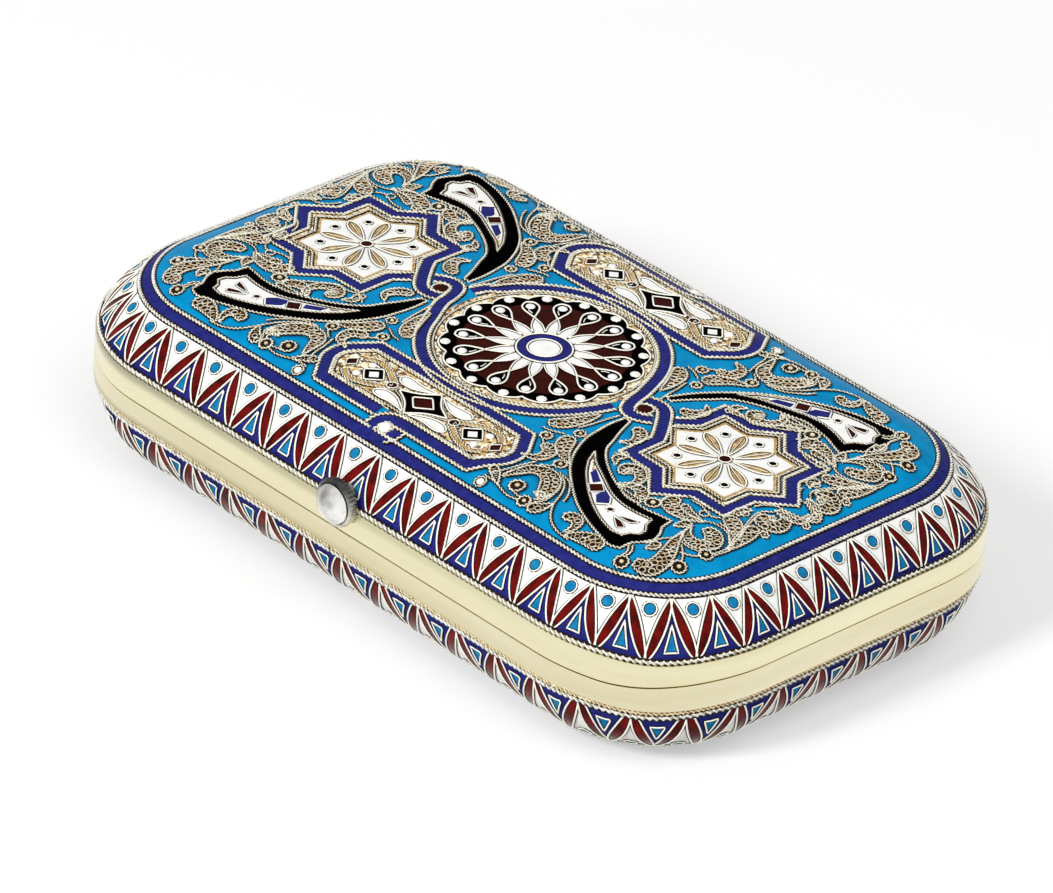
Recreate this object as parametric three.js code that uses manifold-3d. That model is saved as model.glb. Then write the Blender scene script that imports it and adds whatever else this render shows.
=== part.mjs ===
// Cigarette case in enamelled silver gilt: two hollow halves on a knuckle hinge,
// closed by a push-button catch in the front of the lid.
// Millimetres, +Z up. X is the long way and the button looks to -Y.
// The origin is the middle of the flat underside that the case rests on.
import * as THREE from 'three';
import { mergeVertices } from 'three/addons/utils/BufferGeometryUtils.js';
import Module from 'manifold-3d';

const wasm = await Module();
wasm.setup();

// Plan of the closed case, measured over the gilt bands
const CASE_LENGTH = 110.6;
const CASE_WIDTH = 68;
const CORNER_RADIUS = 19.4;

// Heights of the gilt bands and of the enamelled shoulders above and below them
const LID_BAND_HEIGHT = 4.2;
const LID_SHOULDER_HEIGHT = 7.3;
const LID_CROWN_RISE = 1.45;
const BASE_BAND_HEIGHT = 3.7;
const BASE_SHOULDER_HEIGHT = 9.6;
const SEAM_GAP = 0.12;

// How far the shoulders lean in, and the power of their rounding
const SHOULDER_WIDTH = 10.4;
const SHOULDER_POWER = 1.6;

// Walls
const BAND_WALL = 1.5;
const SHELL_WALL = 0.9;
const BAND_EDGE_BEVEL = 0.25;
const SOLDER_GAP = 0.05;

// Twisted wires that edge the enamel
const FOOT_WIRE_DIAMETER = 0.56;
const FIELD_WIRE_DIAMETER = 0.5;
const BORDER_WIRE_INSET = 4.95;
const FIELD_WIRE_INSET = 6.75;

// Lip inside the base that guides the lid
const LIP_WALL = 0.55;
const LIP_CLEARANCE = 0.25;
const LIP_RISE = 1.5;
const LIP_DEPTH = 3.4;
const LIP_HINGE_MARGIN = 1.5;

// Hinge along the back edge
const KNUCKLE_COUNT = 7;
const HINGE_LENGTH = 60;
const KNUCKLE_GAP = 0.2;
const BARREL_RADIUS = 1.6;
const PIN_RADIUS = 0.7;
const PIN_CLEARANCE = 0.2;
const GROOVE_CLEARANCE = 0.4;
const LEAF_THICKNESS = 0.6;
const LEAF_CLEARANCE = 0.3;
const LEAF_HEIGHT = 3.3;
const LEAF_START = 0.15;
const WEB_HEIGHT = 0.65;

// Push button in the front of the lid
const BUTTON_X = 1.6;
const BUTTON_RISE = 4.6;
const BUTTON_RADIUS = 2.75;
const BUTTON_EDGE = 0.55;
const BUTTON_DOME = 0.75;
const BUTTON_TRAVEL = 0.8;
const STEM_RADIUS = 0.9;
const TAIL_RADIUS = 0.55;
const TAIL_CLEARANCE = 0.15;
const TAIL_REACH = 0.4;
const COLLAR_CLEARANCE = 0.15;
const COLLAR_WALL = 0.3;
const COLLAR_FLOOR = 0.4;
const COLLAR_DEPTH = 1.35;
const NECK_WALL = 0.7;
const NECK_BORE_CLEARANCE = 0.25;
const NECK_HOLE_CLEARANCE = 0.2;

// Catch hook and its leaf spring behind the lip
const HOOK_WIDTH = 4.4;
const HOOK_THICKNESS = 0.7;
const HOOK_CLEARANCE = 0.25;
const HOOK_TOP = 1;
const BARB_REACH = 0.75;
const BARB_TOP = 0.7;
const BARB_HEIGHT = 0.5;
const BARB_SLOPE = 0.6;
const WINDOW_CLEARANCE = 0.3;
const SPRING_THICKNESS = 0.35;
const SPRING_HEIGHT = 2.15;
const SPRING_LENGTH = 27;
const SPRING_EYE_RADIUS = 1.5;
const SPRING_LIFT = 2;
const ANCHOR_LENGTH = 4;

// Facets
const CORNER_STEPS = 8;
const LONG_SIDE_STEPS = 6;
const SHORT_SIDE_STEPS = 3;
const OUTER_SHOULDER_STEPS = 7;
const INNER_SHOULDER_STEPS = 5;
const CROWN_RINGS = [0.7, 0.36];
const WIRE_SIDES = 6;
const ROUND_SIDES = 24;

// Places worked out from the sizes above
const halfLength = CASE_LENGTH / 2;
const halfWidth = CASE_WIDTH / 2;
const seamHeight = BASE_BAND_HEIGHT + BASE_SHOULDER_HEIGHT;
const lidBandBottom = seamHeight + SEAM_GAP / 2;
const lidBandTop = seamHeight + LID_BAND_HEIGHT;
const baseBandTop = seamHeight - SEAM_GAP / 2;
const baseBandBottom = seamHeight - BASE_BAND_HEIGHT;
const footWireRadius = FOOT_WIRE_DIAMETER / 2;
const fieldWireRadius = FIELD_WIRE_DIAMETER / 2;
const shellSetIn = FOOT_WIRE_DIAMETER + 2 * SOLDER_GAP;
const front = -halfWidth;

function material(color, roughness, metalness) {
  return new THREE.MeshStandardMaterial({ color, roughness, metalness });
}

const giltMaterial = material(0xe6d9a2, 0.24, 1);
const wireMaterial = material(0xd8cda0, 0.38, 1);
const enamelMaterial = material(0x1e8fcb, 0.2, 0);
const baseEnamelMaterial = material(0x2b2d82, 0.2, 0);
const silverMaterial = material(0xe4e4e2, 0.16, 1);
const springMaterial = material(0xa9a9a6, 0.35, 1);

// Solids and how they are cut and joined

function toSolid(geometry) {
  const bare = geometry.clone();
  bare.deleteAttribute('normal');
  bare.deleteAttribute('uv');
  const merged = mergeVertices(bare, 1e-5);
  const vertProperties = new Float32Array(merged.attributes.position.array);
  const triVerts = new Uint32Array(merged.index.array);
  return new wasm.Manifold(new wasm.Mesh({ numProp: 3, vertProperties, triVerts }));
}

function toGeometry(solid) {
  const mesh = solid.getMesh();
  const geometry = new THREE.BufferGeometry();
  geometry.setAttribute('position', new THREE.BufferAttribute(mesh.vertProperties, 3));
  geometry.setIndex(new THREE.BufferAttribute(mesh.triVerts, 1));
  geometry.computeVertexNormals();
  return geometry;
}

function cut(geometry, ...tools) {
  const solid = tools.reduce((rest, tool) => rest.subtract(toSolid(tool)), toSolid(geometry));
  return toGeometry(solid);
}

function join(geometry, ...others) {
  const solid = others.reduce((rest, other) => rest.add(toSolid(other)), toSolid(geometry));
  return toGeometry(solid);
}

function box(low, high) {
  const [x0, y0, z0] = low;
  const [x1, y1, z1] = high;
  const geometry = new THREE.BoxGeometry(x1 - x0, y1 - y0, z1 - z0);
  return geometry.translate((x0 + x1) / 2, (y0 + y1) / 2, (z0 + z1) / 2);
}

// Outline of the case, as points with the direction that points out of it

function straightStations(from, to, outward, steps) {
  const stations = [];
  for (let step = 1; step < steps; step += 1) {
    stations.push({ point: from.clone().lerp(to, step / steps), outward });
  }
  return stations;
}

function outlineStations() {
  const reachX = halfLength - CORNER_RADIUS;
  const reachY = halfWidth - CORNER_RADIUS;
  const centres = [[reachX, -reachY], [reachX, reachY], [-reachX, reachY], [-reachX, -reachY]];
  const stations = [];
  centres.forEach(([x, y], corner) => {
    const centre = new THREE.Vector2(x, y);
    for (let step = 0; step <= CORNER_STEPS; step += 1) {
      const angle = (corner - 1 + step / CORNER_STEPS) * Math.PI / 2;
      const outward = new THREE.Vector2(Math.cos(angle), Math.sin(angle));
      stations.push({ point: centre.clone().addScaledVector(outward, CORNER_RADIUS), outward });
    }
    const last = stations[stations.length - 1];
    const [nextX, nextY] = centres[(corner + 1) % centres.length];
    const next = new THREE.Vector2(nextX, nextY).addScaledVector(last.outward, CORNER_RADIUS);
    const steps = corner % 2 === 0 ? SHORT_SIDE_STEPS : LONG_SIDE_STEPS;
    stations.push(...straightStations(last.point, next, last.outward, steps));
  });
  return stations;
}

const stations = outlineStations();

function crown(x, y, rise) {
  return rise * Math.max(0, 1 - (x / halfLength) ** 2) * Math.max(0, 1 - (y / halfWidth) ** 2);
}

function ring(inset, height, rise, scale = 1) {
  return stations.map(({ point, outward }) => {
    const place = point.clone().addScaledVector(outward, -inset).multiplyScalar(scale);
    return [place.x, place.y, height + crown(place.x, place.y, rise)];
  });
}

function ringStrip(triangles, lower, upper) {
  const count = stations.length;
  for (let index = 0; index < count; index += 1) {
    const next = (index + 1) % count;
    triangles.push(lower[index], lower[next], upper[next]);
    triangles.push(lower[index], upper[next], upper[index]);
  }
}

function ringFan(triangles, rim, apex, facesUp) {
  const count = rim.length;
  for (let index = 0; index < count; index += 1) {
    const next = rim[(index + 1) % count];
    const pair = facesUp ? [rim[index], next] : [next, rim[index]];
    triangles.push(...pair, apex);
  }
}

function fromTriangles(corners) {
  const geometry = new THREE.BufferGeometry();
  geometry.setAttribute('position', new THREE.Float32BufferAttribute(corners.flat(), 3));
  return mergeVertices(geometry, 1e-5);
}

// A solid pan: a flat foot, a rounded shoulder and a crowned top

function panSolid({ inset, width, height, rise, steps, sink }) {
  const rings = sink > 0 ? [ring(inset, -sink, 0)] : [];
  for (let step = 0; step <= steps; step += 1) {
    const angle = step / steps * Math.PI / 2;
    const lean = width * (1 - Math.cos(angle) ** (2 / SHOULDER_POWER));
    const climb = height * Math.sin(angle) ** (2 / SHOULDER_POWER);
    rings.push(ring(inset + lean, climb, step === 0 ? 0 : rise));
  }
  CROWN_RINGS.forEach((scale) => rings.push(ring(inset + width, height, rise, scale)));
  const triangles = [];
  for (let index = 1; index < rings.length; index += 1) {
    ringStrip(triangles, rings[index - 1], rings[index]);
  }
  ringFan(triangles, rings[rings.length - 1], [0, 0, height + rise], true);
  ringFan(triangles, rings[0], [0, 0, rings[0][0][2]], false);
  return fromTriangles(triangles);
}

// A hollow pan: the outer pan less the same curve one wall further in
function panShell(height, rise) {
  const outer = panSolid({
    inset: shellSetIn, width: SHOULDER_WIDTH, height, rise, steps: OUTER_SHOULDER_STEPS, sink: 0,
  });
  const inner = panSolid({
    inset: shellSetIn + SHELL_WALL,
    width: SHOULDER_WIDTH - SHELL_WALL,
    height: height - SHELL_WALL,
    rise,
    steps: INNER_SHOULDER_STEPS,
    sink: SHELL_WALL,
  });
  return cut(outer, inner);
}

// A closed section of [inset, height] points swept round the outline
function sweptBand(section, rise = 0) {
  const rings = section.map(([inset, height]) => ring(inset, height, rise));
  const triangles = [];
  rings.forEach((lower, index) => ringStrip(triangles, lower, rings[(index + 1) % rings.length]));
  return fromTriangles(triangles);
}

function sweptWire(inset, height, radius, rise = 0) {
  const section = [];
  for (let side = 0; side < WIRE_SIDES; side += 1) {
    const angle = side / WIRE_SIDES * Math.PI * 2;
    section.push([inset - radius * Math.cos(angle), height + radius * Math.sin(angle)]);
  }
  return sweptBand(section, rise);
}

// Centre of a wire that lies on a shoulder, at an inset from the case's side
function wireSeat(inset, shoulderHeight) {
  const share = 1 - (inset - shellSetIn) / SHOULDER_WIDTH;
  const climb = shoulderHeight * (1 - share ** SHOULDER_POWER) ** (1 / SHOULDER_POWER);
  const slopeOut = share ** (SHOULDER_POWER - 1) / SHOULDER_WIDTH;
  const slopeUp = (climb / shoulderHeight) ** (SHOULDER_POWER - 1) / shoulderHeight;
  const length = Math.hypot(slopeOut, slopeUp);
  const lift = fieldWireRadius + SOLDER_GAP;
  return { inset: inset - lift * slopeOut / length, height: climb + lift * slopeUp / length };
}

function shoulderWire(inset, shoulderHeight, rise) {
  const seat = wireSeat(inset, shoulderHeight);
  return sweptWire(seat.inset, seat.height, fieldWireRadius, rise);
}

function footWire() {
  const middle = SOLDER_GAP + footWireRadius;
  return sweptWire(middle, middle, footWireRadius);
}

// Rods and rings along Y at the button, and along X at the hinge

const buttonHeight = seamHeight + BUTTON_RISE;

// A turned piece on the button's axis: [radius, y] points of its outline, from the
// end inside the lid to the end outside it
function turned(outline) {
  const points = outline.map(([radius, y]) => new THREE.Vector2(radius, y)).reverse();
  return new THREE.LatheGeometry(points, ROUND_SIDES).translate(BUTTON_X, 0, buttonHeight);
}

function buttonRod(radius, y0, y1) {
  return turned([[0, y1], [radius, y1], [radius, y0], [0, y0]]);
}

const hingeY = halfWidth;

function hingeRod(radius, x0, x1) {
  const rod = new THREE.CylinderGeometry(radius, radius, x1 - x0, ROUND_SIDES);
  return rod.rotateZ(Math.PI / 2).translate((x0 + x1) / 2, hingeY, seamHeight);
}

// Button, collar and the hole that the collar's neck sits in

const collarBack = front - SOLDER_GAP;
const collarFloor = collarBack - COLLAR_FLOOR;
const collarLip = collarBack - COLLAR_DEPTH;
const collarBore = BUTTON_RADIUS + COLLAR_CLEARANCE;
const neckBore = STEM_RADIUS + NECK_BORE_CLEARANCE;
const neckRadius = neckBore + NECK_WALL;
const lipInner = BAND_WALL + LIP_CLEARANCE + LIP_WALL;
const hookFace = front + lipInner + HOOK_CLEARANCE;
const hookBack = hookFace + HOOK_THICKNESS;
const springFace = hookBack + SOLDER_GAP;
const springBack = springFace + SPRING_THICKNESS;
const neckEnd = hookFace - 2 * SOLDER_GAP;
const buttonBack = collarFloor - BUTTON_TRAVEL - SOLDER_GAP;
const buttonEdge = buttonBack - BUTTON_EDGE;

function neckHole() {
  const radius = neckRadius + NECK_HOLE_CLEARANCE;
  return buttonRod(radius, front - CORNER_RADIUS, front + CORNER_RADIUS);
}

function buttonCollar() {
  return turned([
    [neckBore, neckEnd],
    [neckRadius, neckEnd],
    [neckRadius, collarBack],
    [collarBore + COLLAR_WALL, collarBack],
    [collarBore + COLLAR_WALL, collarLip],
    [collarBore, collarLip],
    [collarBore, collarFloor],
    [neckBore, collarFloor],
    [neckBore, neckEnd],
  ]);
}

function thumbButton() {
  const domeSteps = 4;
  const dome = [];
  for (let step = 0; step <= domeSteps; step += 1) {
    const angle = step / domeSteps * Math.PI / 2;
    dome.push([BUTTON_RADIUS * Math.cos(angle), buttonEdge - BUTTON_DOME * Math.sin(angle)]);
  }
  dome[domeSteps][0] = 0;
  const shoulder = hookFace - SOLDER_GAP;
  return turned([
    [0, springBack + TAIL_REACH],
    [TAIL_RADIUS, springBack + TAIL_REACH],
    [TAIL_RADIUS, shoulder],
    [STEM_RADIUS, shoulder],
    [STEM_RADIUS, buttonBack],
    [BUTTON_RADIUS, buttonBack],
    ...dome,
  ]);
}

function tailHole() {
  return buttonRod(TAIL_RADIUS + TAIL_CLEARANCE, hookFace - HOOK_THICKNESS, springBack + HOOK_THICKNESS);
}

// Plate behind the lip, with a barb that reaches out through the lip's window
function catchHook() {
  const top = buttonHeight + HOOK_TOP;
  const barbTop = seamHeight - BARB_TOP;
  const barbBottom = barbTop - BARB_HEIGHT;
  const profile = new THREE.Shape();
  profile.moveTo(hookBack, top);
  profile.lineTo(hookFace, top);
  profile.lineTo(hookFace, barbTop);
  profile.lineTo(hookFace - BARB_REACH, barbTop);
  profile.lineTo(hookFace - BARB_REACH, barbBottom);
  profile.lineTo(hookFace, barbBottom - BARB_SLOPE);
  profile.lineTo(hookBack, barbBottom - BARB_SLOPE);
  const plate = new THREE.ExtrudeGeometry(profile, { depth: HOOK_WIDTH, bevelEnabled: false });
  plate.rotateX(Math.PI / 2).rotateZ(Math.PI / 2);
  plate.translate(BUTTON_X - HOOK_WIDTH / 2, 0, 0);
  return cut(plate, tailHole());
}

function lipWindow() {
  const half = HOOK_WIDTH / 2 + WINDOW_CLEARANCE;
  const bottom = seamHeight - BARB_TOP - BARB_HEIGHT - BARB_SLOPE - WINDOW_CLEARANCE;
  const low = [BUTTON_X - half, front + BAND_WALL, bottom];
  const high = [BUTTON_X + half, hookBack, seamHeight - BARB_TOP + WINDOW_CLEARANCE];
  return box(low, high);
}

function catchSpring() {
  const low = [BUTTON_X - SPRING_LENGTH, springFace, seamHeight + SPRING_LIFT];
  const high = [BUTTON_X, springBack, seamHeight + SPRING_LIFT + SPRING_HEIGHT];
  const eye = buttonRod(SPRING_EYE_RADIUS, springFace, springBack);
  return cut(join(box(low, high), eye), tailHole());
}

function springBlock() {
  const x0 = BUTTON_X - SPRING_LENGTH;
  const bottom = seamHeight + SPRING_LIFT;
  const low = [x0, front + BAND_WALL + SOLDER_GAP, bottom];
  return box(low, [x0 + ANCHOR_LENGTH, springFace - SOLDER_GAP, bottom + SPRING_HEIGHT]);
}

// Hinge: one knuckle has a barrel on the pin and a leaf along the inside of its half

const knucklePitch = HINGE_LENGTH / KNUCKLE_COUNT;
const leafOuter = hingeY - BAND_WALL - LEAF_CLEARANCE;
const leafInner = leafOuter - LEAF_THICKNESS;

function knuckle(index, side) {
  const x0 = -HINGE_LENGTH / 2 + index * knucklePitch + KNUCKLE_GAP / 2;
  const x1 = x0 + knucklePitch - KNUCKLE_GAP;
  const level = (z) => seamHeight + side * z;
  const span = (y0, y1, z0, z1) => {
    const heights = [level(z0), level(z1)].sort((a, b) => a - b);
    return box([x0, y0, heights[0]], [x1, y1, heights[1]]);
  };
  const web = span(leafInner, hingeY - BARREL_RADIUS / 2, LEAF_START, LEAF_START + WEB_HEIGHT);
  const leaf = span(leafInner, leafOuter, LEAF_START, LEAF_HEIGHT);
  const body = join(hingeRod(BARREL_RADIUS, x0, x1), web, leaf);
  return cut(body, hingeRod(PIN_RADIUS + PIN_CLEARANCE, x0 - 1, x1 + 1));
}

function hingeGroove() {
  const half = HINGE_LENGTH / 2 + KNUCKLE_GAP;
  return hingeRod(BARREL_RADIUS + GROOVE_CLEARANCE, -half, half);
}

// Gilt bands and the lip

function band(seamEdge, shellEdge) {
  const away = Math.sign(shellEdge - seamEdge);
  const section = [
    [BAND_EDGE_BEVEL, seamEdge],
    [0, seamEdge + away * BAND_EDGE_BEVEL],
    [0, shellEdge],
    [BAND_WALL, shellEdge],
    [BAND_WALL, seamEdge],
  ];
  return sweptBand(away > 0 ? section : section.reverse());
}

function lipBand() {
  const outer = BAND_WALL + LIP_CLEARANCE;
  const bottom = seamHeight - LIP_DEPTH;
  const top = seamHeight + LIP_RISE;
  const whole = sweptBand([[outer, bottom], [outer, top], [lipInner, top], [lipInner, bottom]]);
  const reach = HINGE_LENGTH / 2 + LIP_HINGE_MARGIN;
  const backOpening = box([-reach, 0, bottom - 1], [reach, hingeY, top + 1]);
  return cut(whole, backOpening, lipWindow());
}

function turnedOver(geometry, height) {
  return geometry.rotateX(Math.PI).translate(0, 0, height);
}

// The assembly

const assembly = new THREE.Group();

function add(name, geometry, finish) {
  const mesh = new THREE.Mesh(geometry, finish);
  mesh.name = name;
  assembly.add(mesh);
}

const lidShell = panShell(LID_SHOULDER_HEIGHT, LID_CROWN_RISE).translate(0, 0, lidBandTop);
const lidFootWire = footWire().translate(0, 0, lidBandTop);
const lidBorderWire = shoulderWire(BORDER_WIRE_INSET, LID_SHOULDER_HEIGHT, LID_CROWN_RISE);
const lidFieldWire = shoulderWire(FIELD_WIRE_INSET, LID_SHOULDER_HEIGHT, LID_CROWN_RISE);
add('lid_shell', cut(lidShell, neckHole()), enamelMaterial);
add('lid_band', cut(band(lidBandBottom, lidBandTop), neckHole(), hingeGroove()), giltMaterial);
add('lid_foot_wire', cut(lidFootWire, neckHole()), wireMaterial);
add('lid_border_wire', lidBorderWire.translate(0, 0, lidBandTop), wireMaterial);
add('lid_field_wire', lidFieldWire.translate(0, 0, lidBandTop), wireMaterial);
add('button_collar', buttonCollar(), silverMaterial);
add('spring_block', springBlock(), silverMaterial);

add('thumb_button', thumbButton(), silverMaterial);
add('catch_hook', catchHook(), springMaterial);
add('catch_spring', catchSpring(), springMaterial);

const baseBorderWire = shoulderWire(BORDER_WIRE_INSET, BASE_SHOULDER_HEIGHT, 0);
const baseFieldWire = shoulderWire(FIELD_WIRE_INSET, BASE_SHOULDER_HEIGHT, 0);
add('base_shell', turnedOver(panShell(BASE_SHOULDER_HEIGHT, 0), baseBandBottom), baseEnamelMaterial);
add('base_band', cut(band(baseBandTop, baseBandBottom), hingeGroove()), giltMaterial);
add('base_lip', lipBand(), giltMaterial);
add('base_foot_wire', turnedOver(footWire(), baseBandBottom), wireMaterial);
add('base_border_wire', turnedOver(baseBorderWire, baseBandBottom), wireMaterial);
add('base_field_wire', turnedOver(baseFieldWire, baseBandBottom), wireMaterial);

for (let index = 0; index < KNUCKLE_COUNT; index += 1) {
  const onBase = index % 2 === 0;
  const name = `${onBase ? 'base' : 'lid'}_knuckle_${Math.floor(index / 2) + 1}`;
  add(name, knuckle(index, onBase ? -1 : 1), giltMaterial);
}
add('hinge_pin', hingeRod(PIN_RADIUS, -HINGE_LENGTH / 2, HINGE_LENGTH / 2), springMaterial);

export default assembly;
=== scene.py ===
# %% [markdown]
# # A cloisonne cigarette case
# The case is two shallow gilt pans that close on each other. Each has a plain gilt band at the seam
# and an enamelled shoulder and face: coloured glass melted between fine twisted wires.
# All lengths below are in millimetres and are turned to metres when a mesh is made.

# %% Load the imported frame
import math
import random

import bmesh
import bpy
import numpy as np
from mathutils import Matrix, Vector


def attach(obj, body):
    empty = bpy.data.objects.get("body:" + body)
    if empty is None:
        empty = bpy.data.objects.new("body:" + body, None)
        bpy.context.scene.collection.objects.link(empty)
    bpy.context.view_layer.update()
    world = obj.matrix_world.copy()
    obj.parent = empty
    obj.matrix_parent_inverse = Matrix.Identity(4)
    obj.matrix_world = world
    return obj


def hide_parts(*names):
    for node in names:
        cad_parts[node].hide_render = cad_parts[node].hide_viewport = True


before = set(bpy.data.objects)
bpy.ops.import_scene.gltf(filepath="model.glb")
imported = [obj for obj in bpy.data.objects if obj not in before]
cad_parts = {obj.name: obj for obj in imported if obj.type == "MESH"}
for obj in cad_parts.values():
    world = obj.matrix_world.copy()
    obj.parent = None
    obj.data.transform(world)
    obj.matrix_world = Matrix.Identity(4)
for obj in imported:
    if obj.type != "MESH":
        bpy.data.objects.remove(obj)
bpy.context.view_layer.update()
MM = 0.001

# %% [markdown]
# ## The camera
# The case was photographed from its near right corner, a little above. A long lens a metre away
# keeps its sides almost parallel. Azimuth, elevation and roll were solved from its corners.

# %% Camera
FRAME_WIDTH = 1053
FOCAL_PIXELS = 8789.35
CAMERA_TARGET = Vector((-0.28, -1.15, 12.26)) * MM
CAMERA_DISTANCE = 1.0749


def camera_axes(azimuth, elevation, roll):
    """Right, up and back directions of a camera, angles in degrees."""
    a, e, r = (math.radians(angle) for angle in (azimuth, elevation, roll))
    back = Vector((math.sin(a) * math.cos(e), -math.cos(a) * math.cos(e), math.sin(e)))
    right = Vector((0, 0, 1)).cross(back).normalized()
    up = back.cross(right)
    return right * math.cos(r) + up * math.sin(r), up * math.cos(r) - right * math.sin(r), back


right, up, back = camera_axes(44.36, 30.75, 4.58)
bpy.ops.object.select_all(action="DESELECT")
bpy.ops.object.camera_add()
camera = bpy.context.object
camera.data.sensor_width = 36
camera.data.lens = FOCAL_PIXELS * 36 / FRAME_WIDTH
camera.data.clip_end = 20
turned = Matrix((right, up, back)).transposed().to_4x4()
camera.matrix_world = Matrix.Translation(CAMERA_TARGET + back * CAMERA_DISTANCE) @ turned
bpy.context.scene.camera = camera
bpy.context.scene.view_settings.view_transform = "Standard"
print("lens", round(camera.data.lens, 1), "mm")

# %% [markdown]
# ## Light and floor
# The case stands on a white sweep under soft light from its near side, which is at our left, so its
# shadow falls to the right. The world and the floor look white to the camera and in reflections,
# and the floor keeps about half of its own shading, which holds the shadow.

# %% A helper for shader nodes
def add_node(tree, kind, inputs, output=0, **settings):
    """Adds a shader node, feeds its inputs with numbers or other nodes' outputs, gives its output."""
    made = tree.nodes.new("ShaderNode" + kind)
    for key, value in settings.items():
        setattr(made, key, value)
    for key, value in inputs.items():
        if isinstance(value, bpy.types.NodeSocket):
            tree.links.new(value, made.inputs[key])
        else:
            made.inputs[key].default_value = value
    return made.outputs[output]


# %% World
WORLD_LEVEL = 0.46
PURE_WHITE = (1, 1, 1, 1)


def light_world():
    """A soft world that looks pure white to the camera, in mirrors and through glass."""
    world = bpy.data.worlds.new("studio")
    bpy.context.scene.world = world
    world.use_nodes = True
    tree = world.node_tree
    tree.nodes.clear()
    ray = tree.nodes.new("ShaderNodeLightPath").outputs
    seen = add_node(tree, "Math", {0: ray["Is Camera Ray"], 1: ray["Is Glossy Ray"]}, operation="MAXIMUM")
    seen = add_node(tree, "Math", {0: seen, 1: ray["Is Transmission Ray"]}, operation="MAXIMUM")
    soft, white = (add_node(tree, "Background", {"Strength": level, "Color": PURE_WHITE})
                   for level in (WORLD_LEVEL, 1))
    mixed = add_node(tree, "MixShader", {0: seen, 1: soft, 2: white})
    tree.links.new(mixed, tree.nodes.new("ShaderNodeOutputWorld").inputs["Surface"])


light_world()
print("world level", WORLD_LEVEL)


# %% Lamps
def soft_lamp(name, direction, distance, size, watts):
    lamp = bpy.data.lights.new(name, "AREA")
    lamp.shape = "DISK"
    lamp.size = size
    lamp.energy = watts
    holder = bpy.data.objects.new(name, lamp)
    bpy.context.scene.collection.objects.link(holder)
    towards = Vector(direction).normalized()
    holder.location = towards * distance
    holder.rotation_euler = towards.to_track_quat("Z", "Y").to_euler()
    holder.visible_glossy = False
    print(name, "lamp,", watts, "watts")


soft_lamp("key", (0.04, -0.98, 0.74), 1.4, 0.34, 13.0)
soft_lamp("fill", (0.95, -0.4, 1.3), 1.4, 1.0, 5.6)

# %% Floor
FLOOR_WHITE_SHARE = 0.45
FLOOR_BOUNCE = (0.62, 0.6, 0.58, 1)


def floor_paint():
    """White paint: partly glowing for the camera, white in reflections, a dimmer white elsewhere."""
    paint = bpy.data.materials.new("white_sweep")
    paint.use_nodes = True
    tree = paint.node_tree
    shader = tree.nodes["Principled BSDF"]
    shader.inputs["Base Color"].default_value = PURE_WHITE
    shader.inputs["Roughness"].default_value = 0.9
    shader.inputs["Specular IOR Level"].default_value = 0.1
    dim = add_node(tree, "BsdfDiffuse", {"Color": FLOOR_BOUNCE})
    white = add_node(tree, "Emission", {})
    ray = tree.nodes.new("ShaderNodeLightPath").outputs
    to_camera = add_node(tree, "MixShader", {0: FLOOR_WHITE_SHARE, 1: shader.outputs[0], 2: white})
    to_rest = add_node(tree, "MixShader", {0: ray["Is Glossy Ray"], 1: dim, 2: white})
    mixed = add_node(tree, "MixShader", {0: ray["Is Camera Ray"], 1: to_rest, 2: to_camera})
    tree.links.new(mixed, tree.nodes["Material Output"].inputs["Surface"])
    return paint


bpy.ops.mesh.primitive_plane_add(size=6)
floor = bpy.context.object
floor.name = "floor"
floor.data.materials.append(floor_paint())
print("floor placed")

# %% [markdown]
# ## Finishes
# Enamel is glass: even in colour, glossy, with faint clouds where the powder melted unevenly and
# small pits. Gilt silver is satin from polishing, paler where it is rubbed; its patches also stand
# for streaky painted reflections, and painted shade darkens the bands near their ropes and the button
# and cup towards their tops. Wires have painted highlights on their crests and painted shade in their
# furrows. Every finish is made of nodes that read Object coordinates, so a pattern keeps its place on
# the metal.

# %% Colours, clouds and ramps
def linear(red, green, blue):
    """A colour given in the usual 0 to 255 steps, as the shader wants it."""
    steps = []
    for value in (red, green, blue):
        share = value / 255
        steps.append(share / 12.92 if share <= 0.04045 else ((share + 0.055) / 1.055) ** 2.4)
    return (*steps, 1)


def start_finish(name):
    finish = bpy.data.materials.new(name)
    finish.use_nodes = True
    tree = finish.node_tree
    where = tree.nodes.new("ShaderNodeTexCoord")
    return finish, tree, tree.nodes["Principled BSDF"], where.outputs["Object"]


def noise(tree, where, scale, detail=3, roughness=0.55):
    inputs = {"Vector": where, "Scale": scale, "Detail": detail, "Roughness": roughness}
    return add_node(tree, "TexNoise", inputs, "Fac")


def ramp(tree, factor, stops):
    node = tree.nodes.new("ShaderNodeValToRGB")
    while len(node.color_ramp.elements) < len(stops):
        node.color_ramp.elements.new(0.5)
    for element, (place, colour) in zip(node.color_ramp.elements, stops):
        element.position = place
        element.color = colour
    tree.links.new(factor, node.inputs["Fac"])
    return node.outputs["Color"]


def spread(tree, factor, low, high):
    """Stretches a cloud's middle tones to run from low to high."""
    inputs = {"Value": factor, "From Min": 0.3, "From Max": 0.7, "To Min": low, "To Max": high}
    return add_node(tree, "MapRange", inputs, "Result")


def bump(tree, shader, height, strength, distance):
    inputs = {"Height": height, "Strength": strength, "Distance": distance}
    tree.links.new(add_node(tree, "Bump", inputs, "Normal"), shader.inputs["Normal"])


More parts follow.
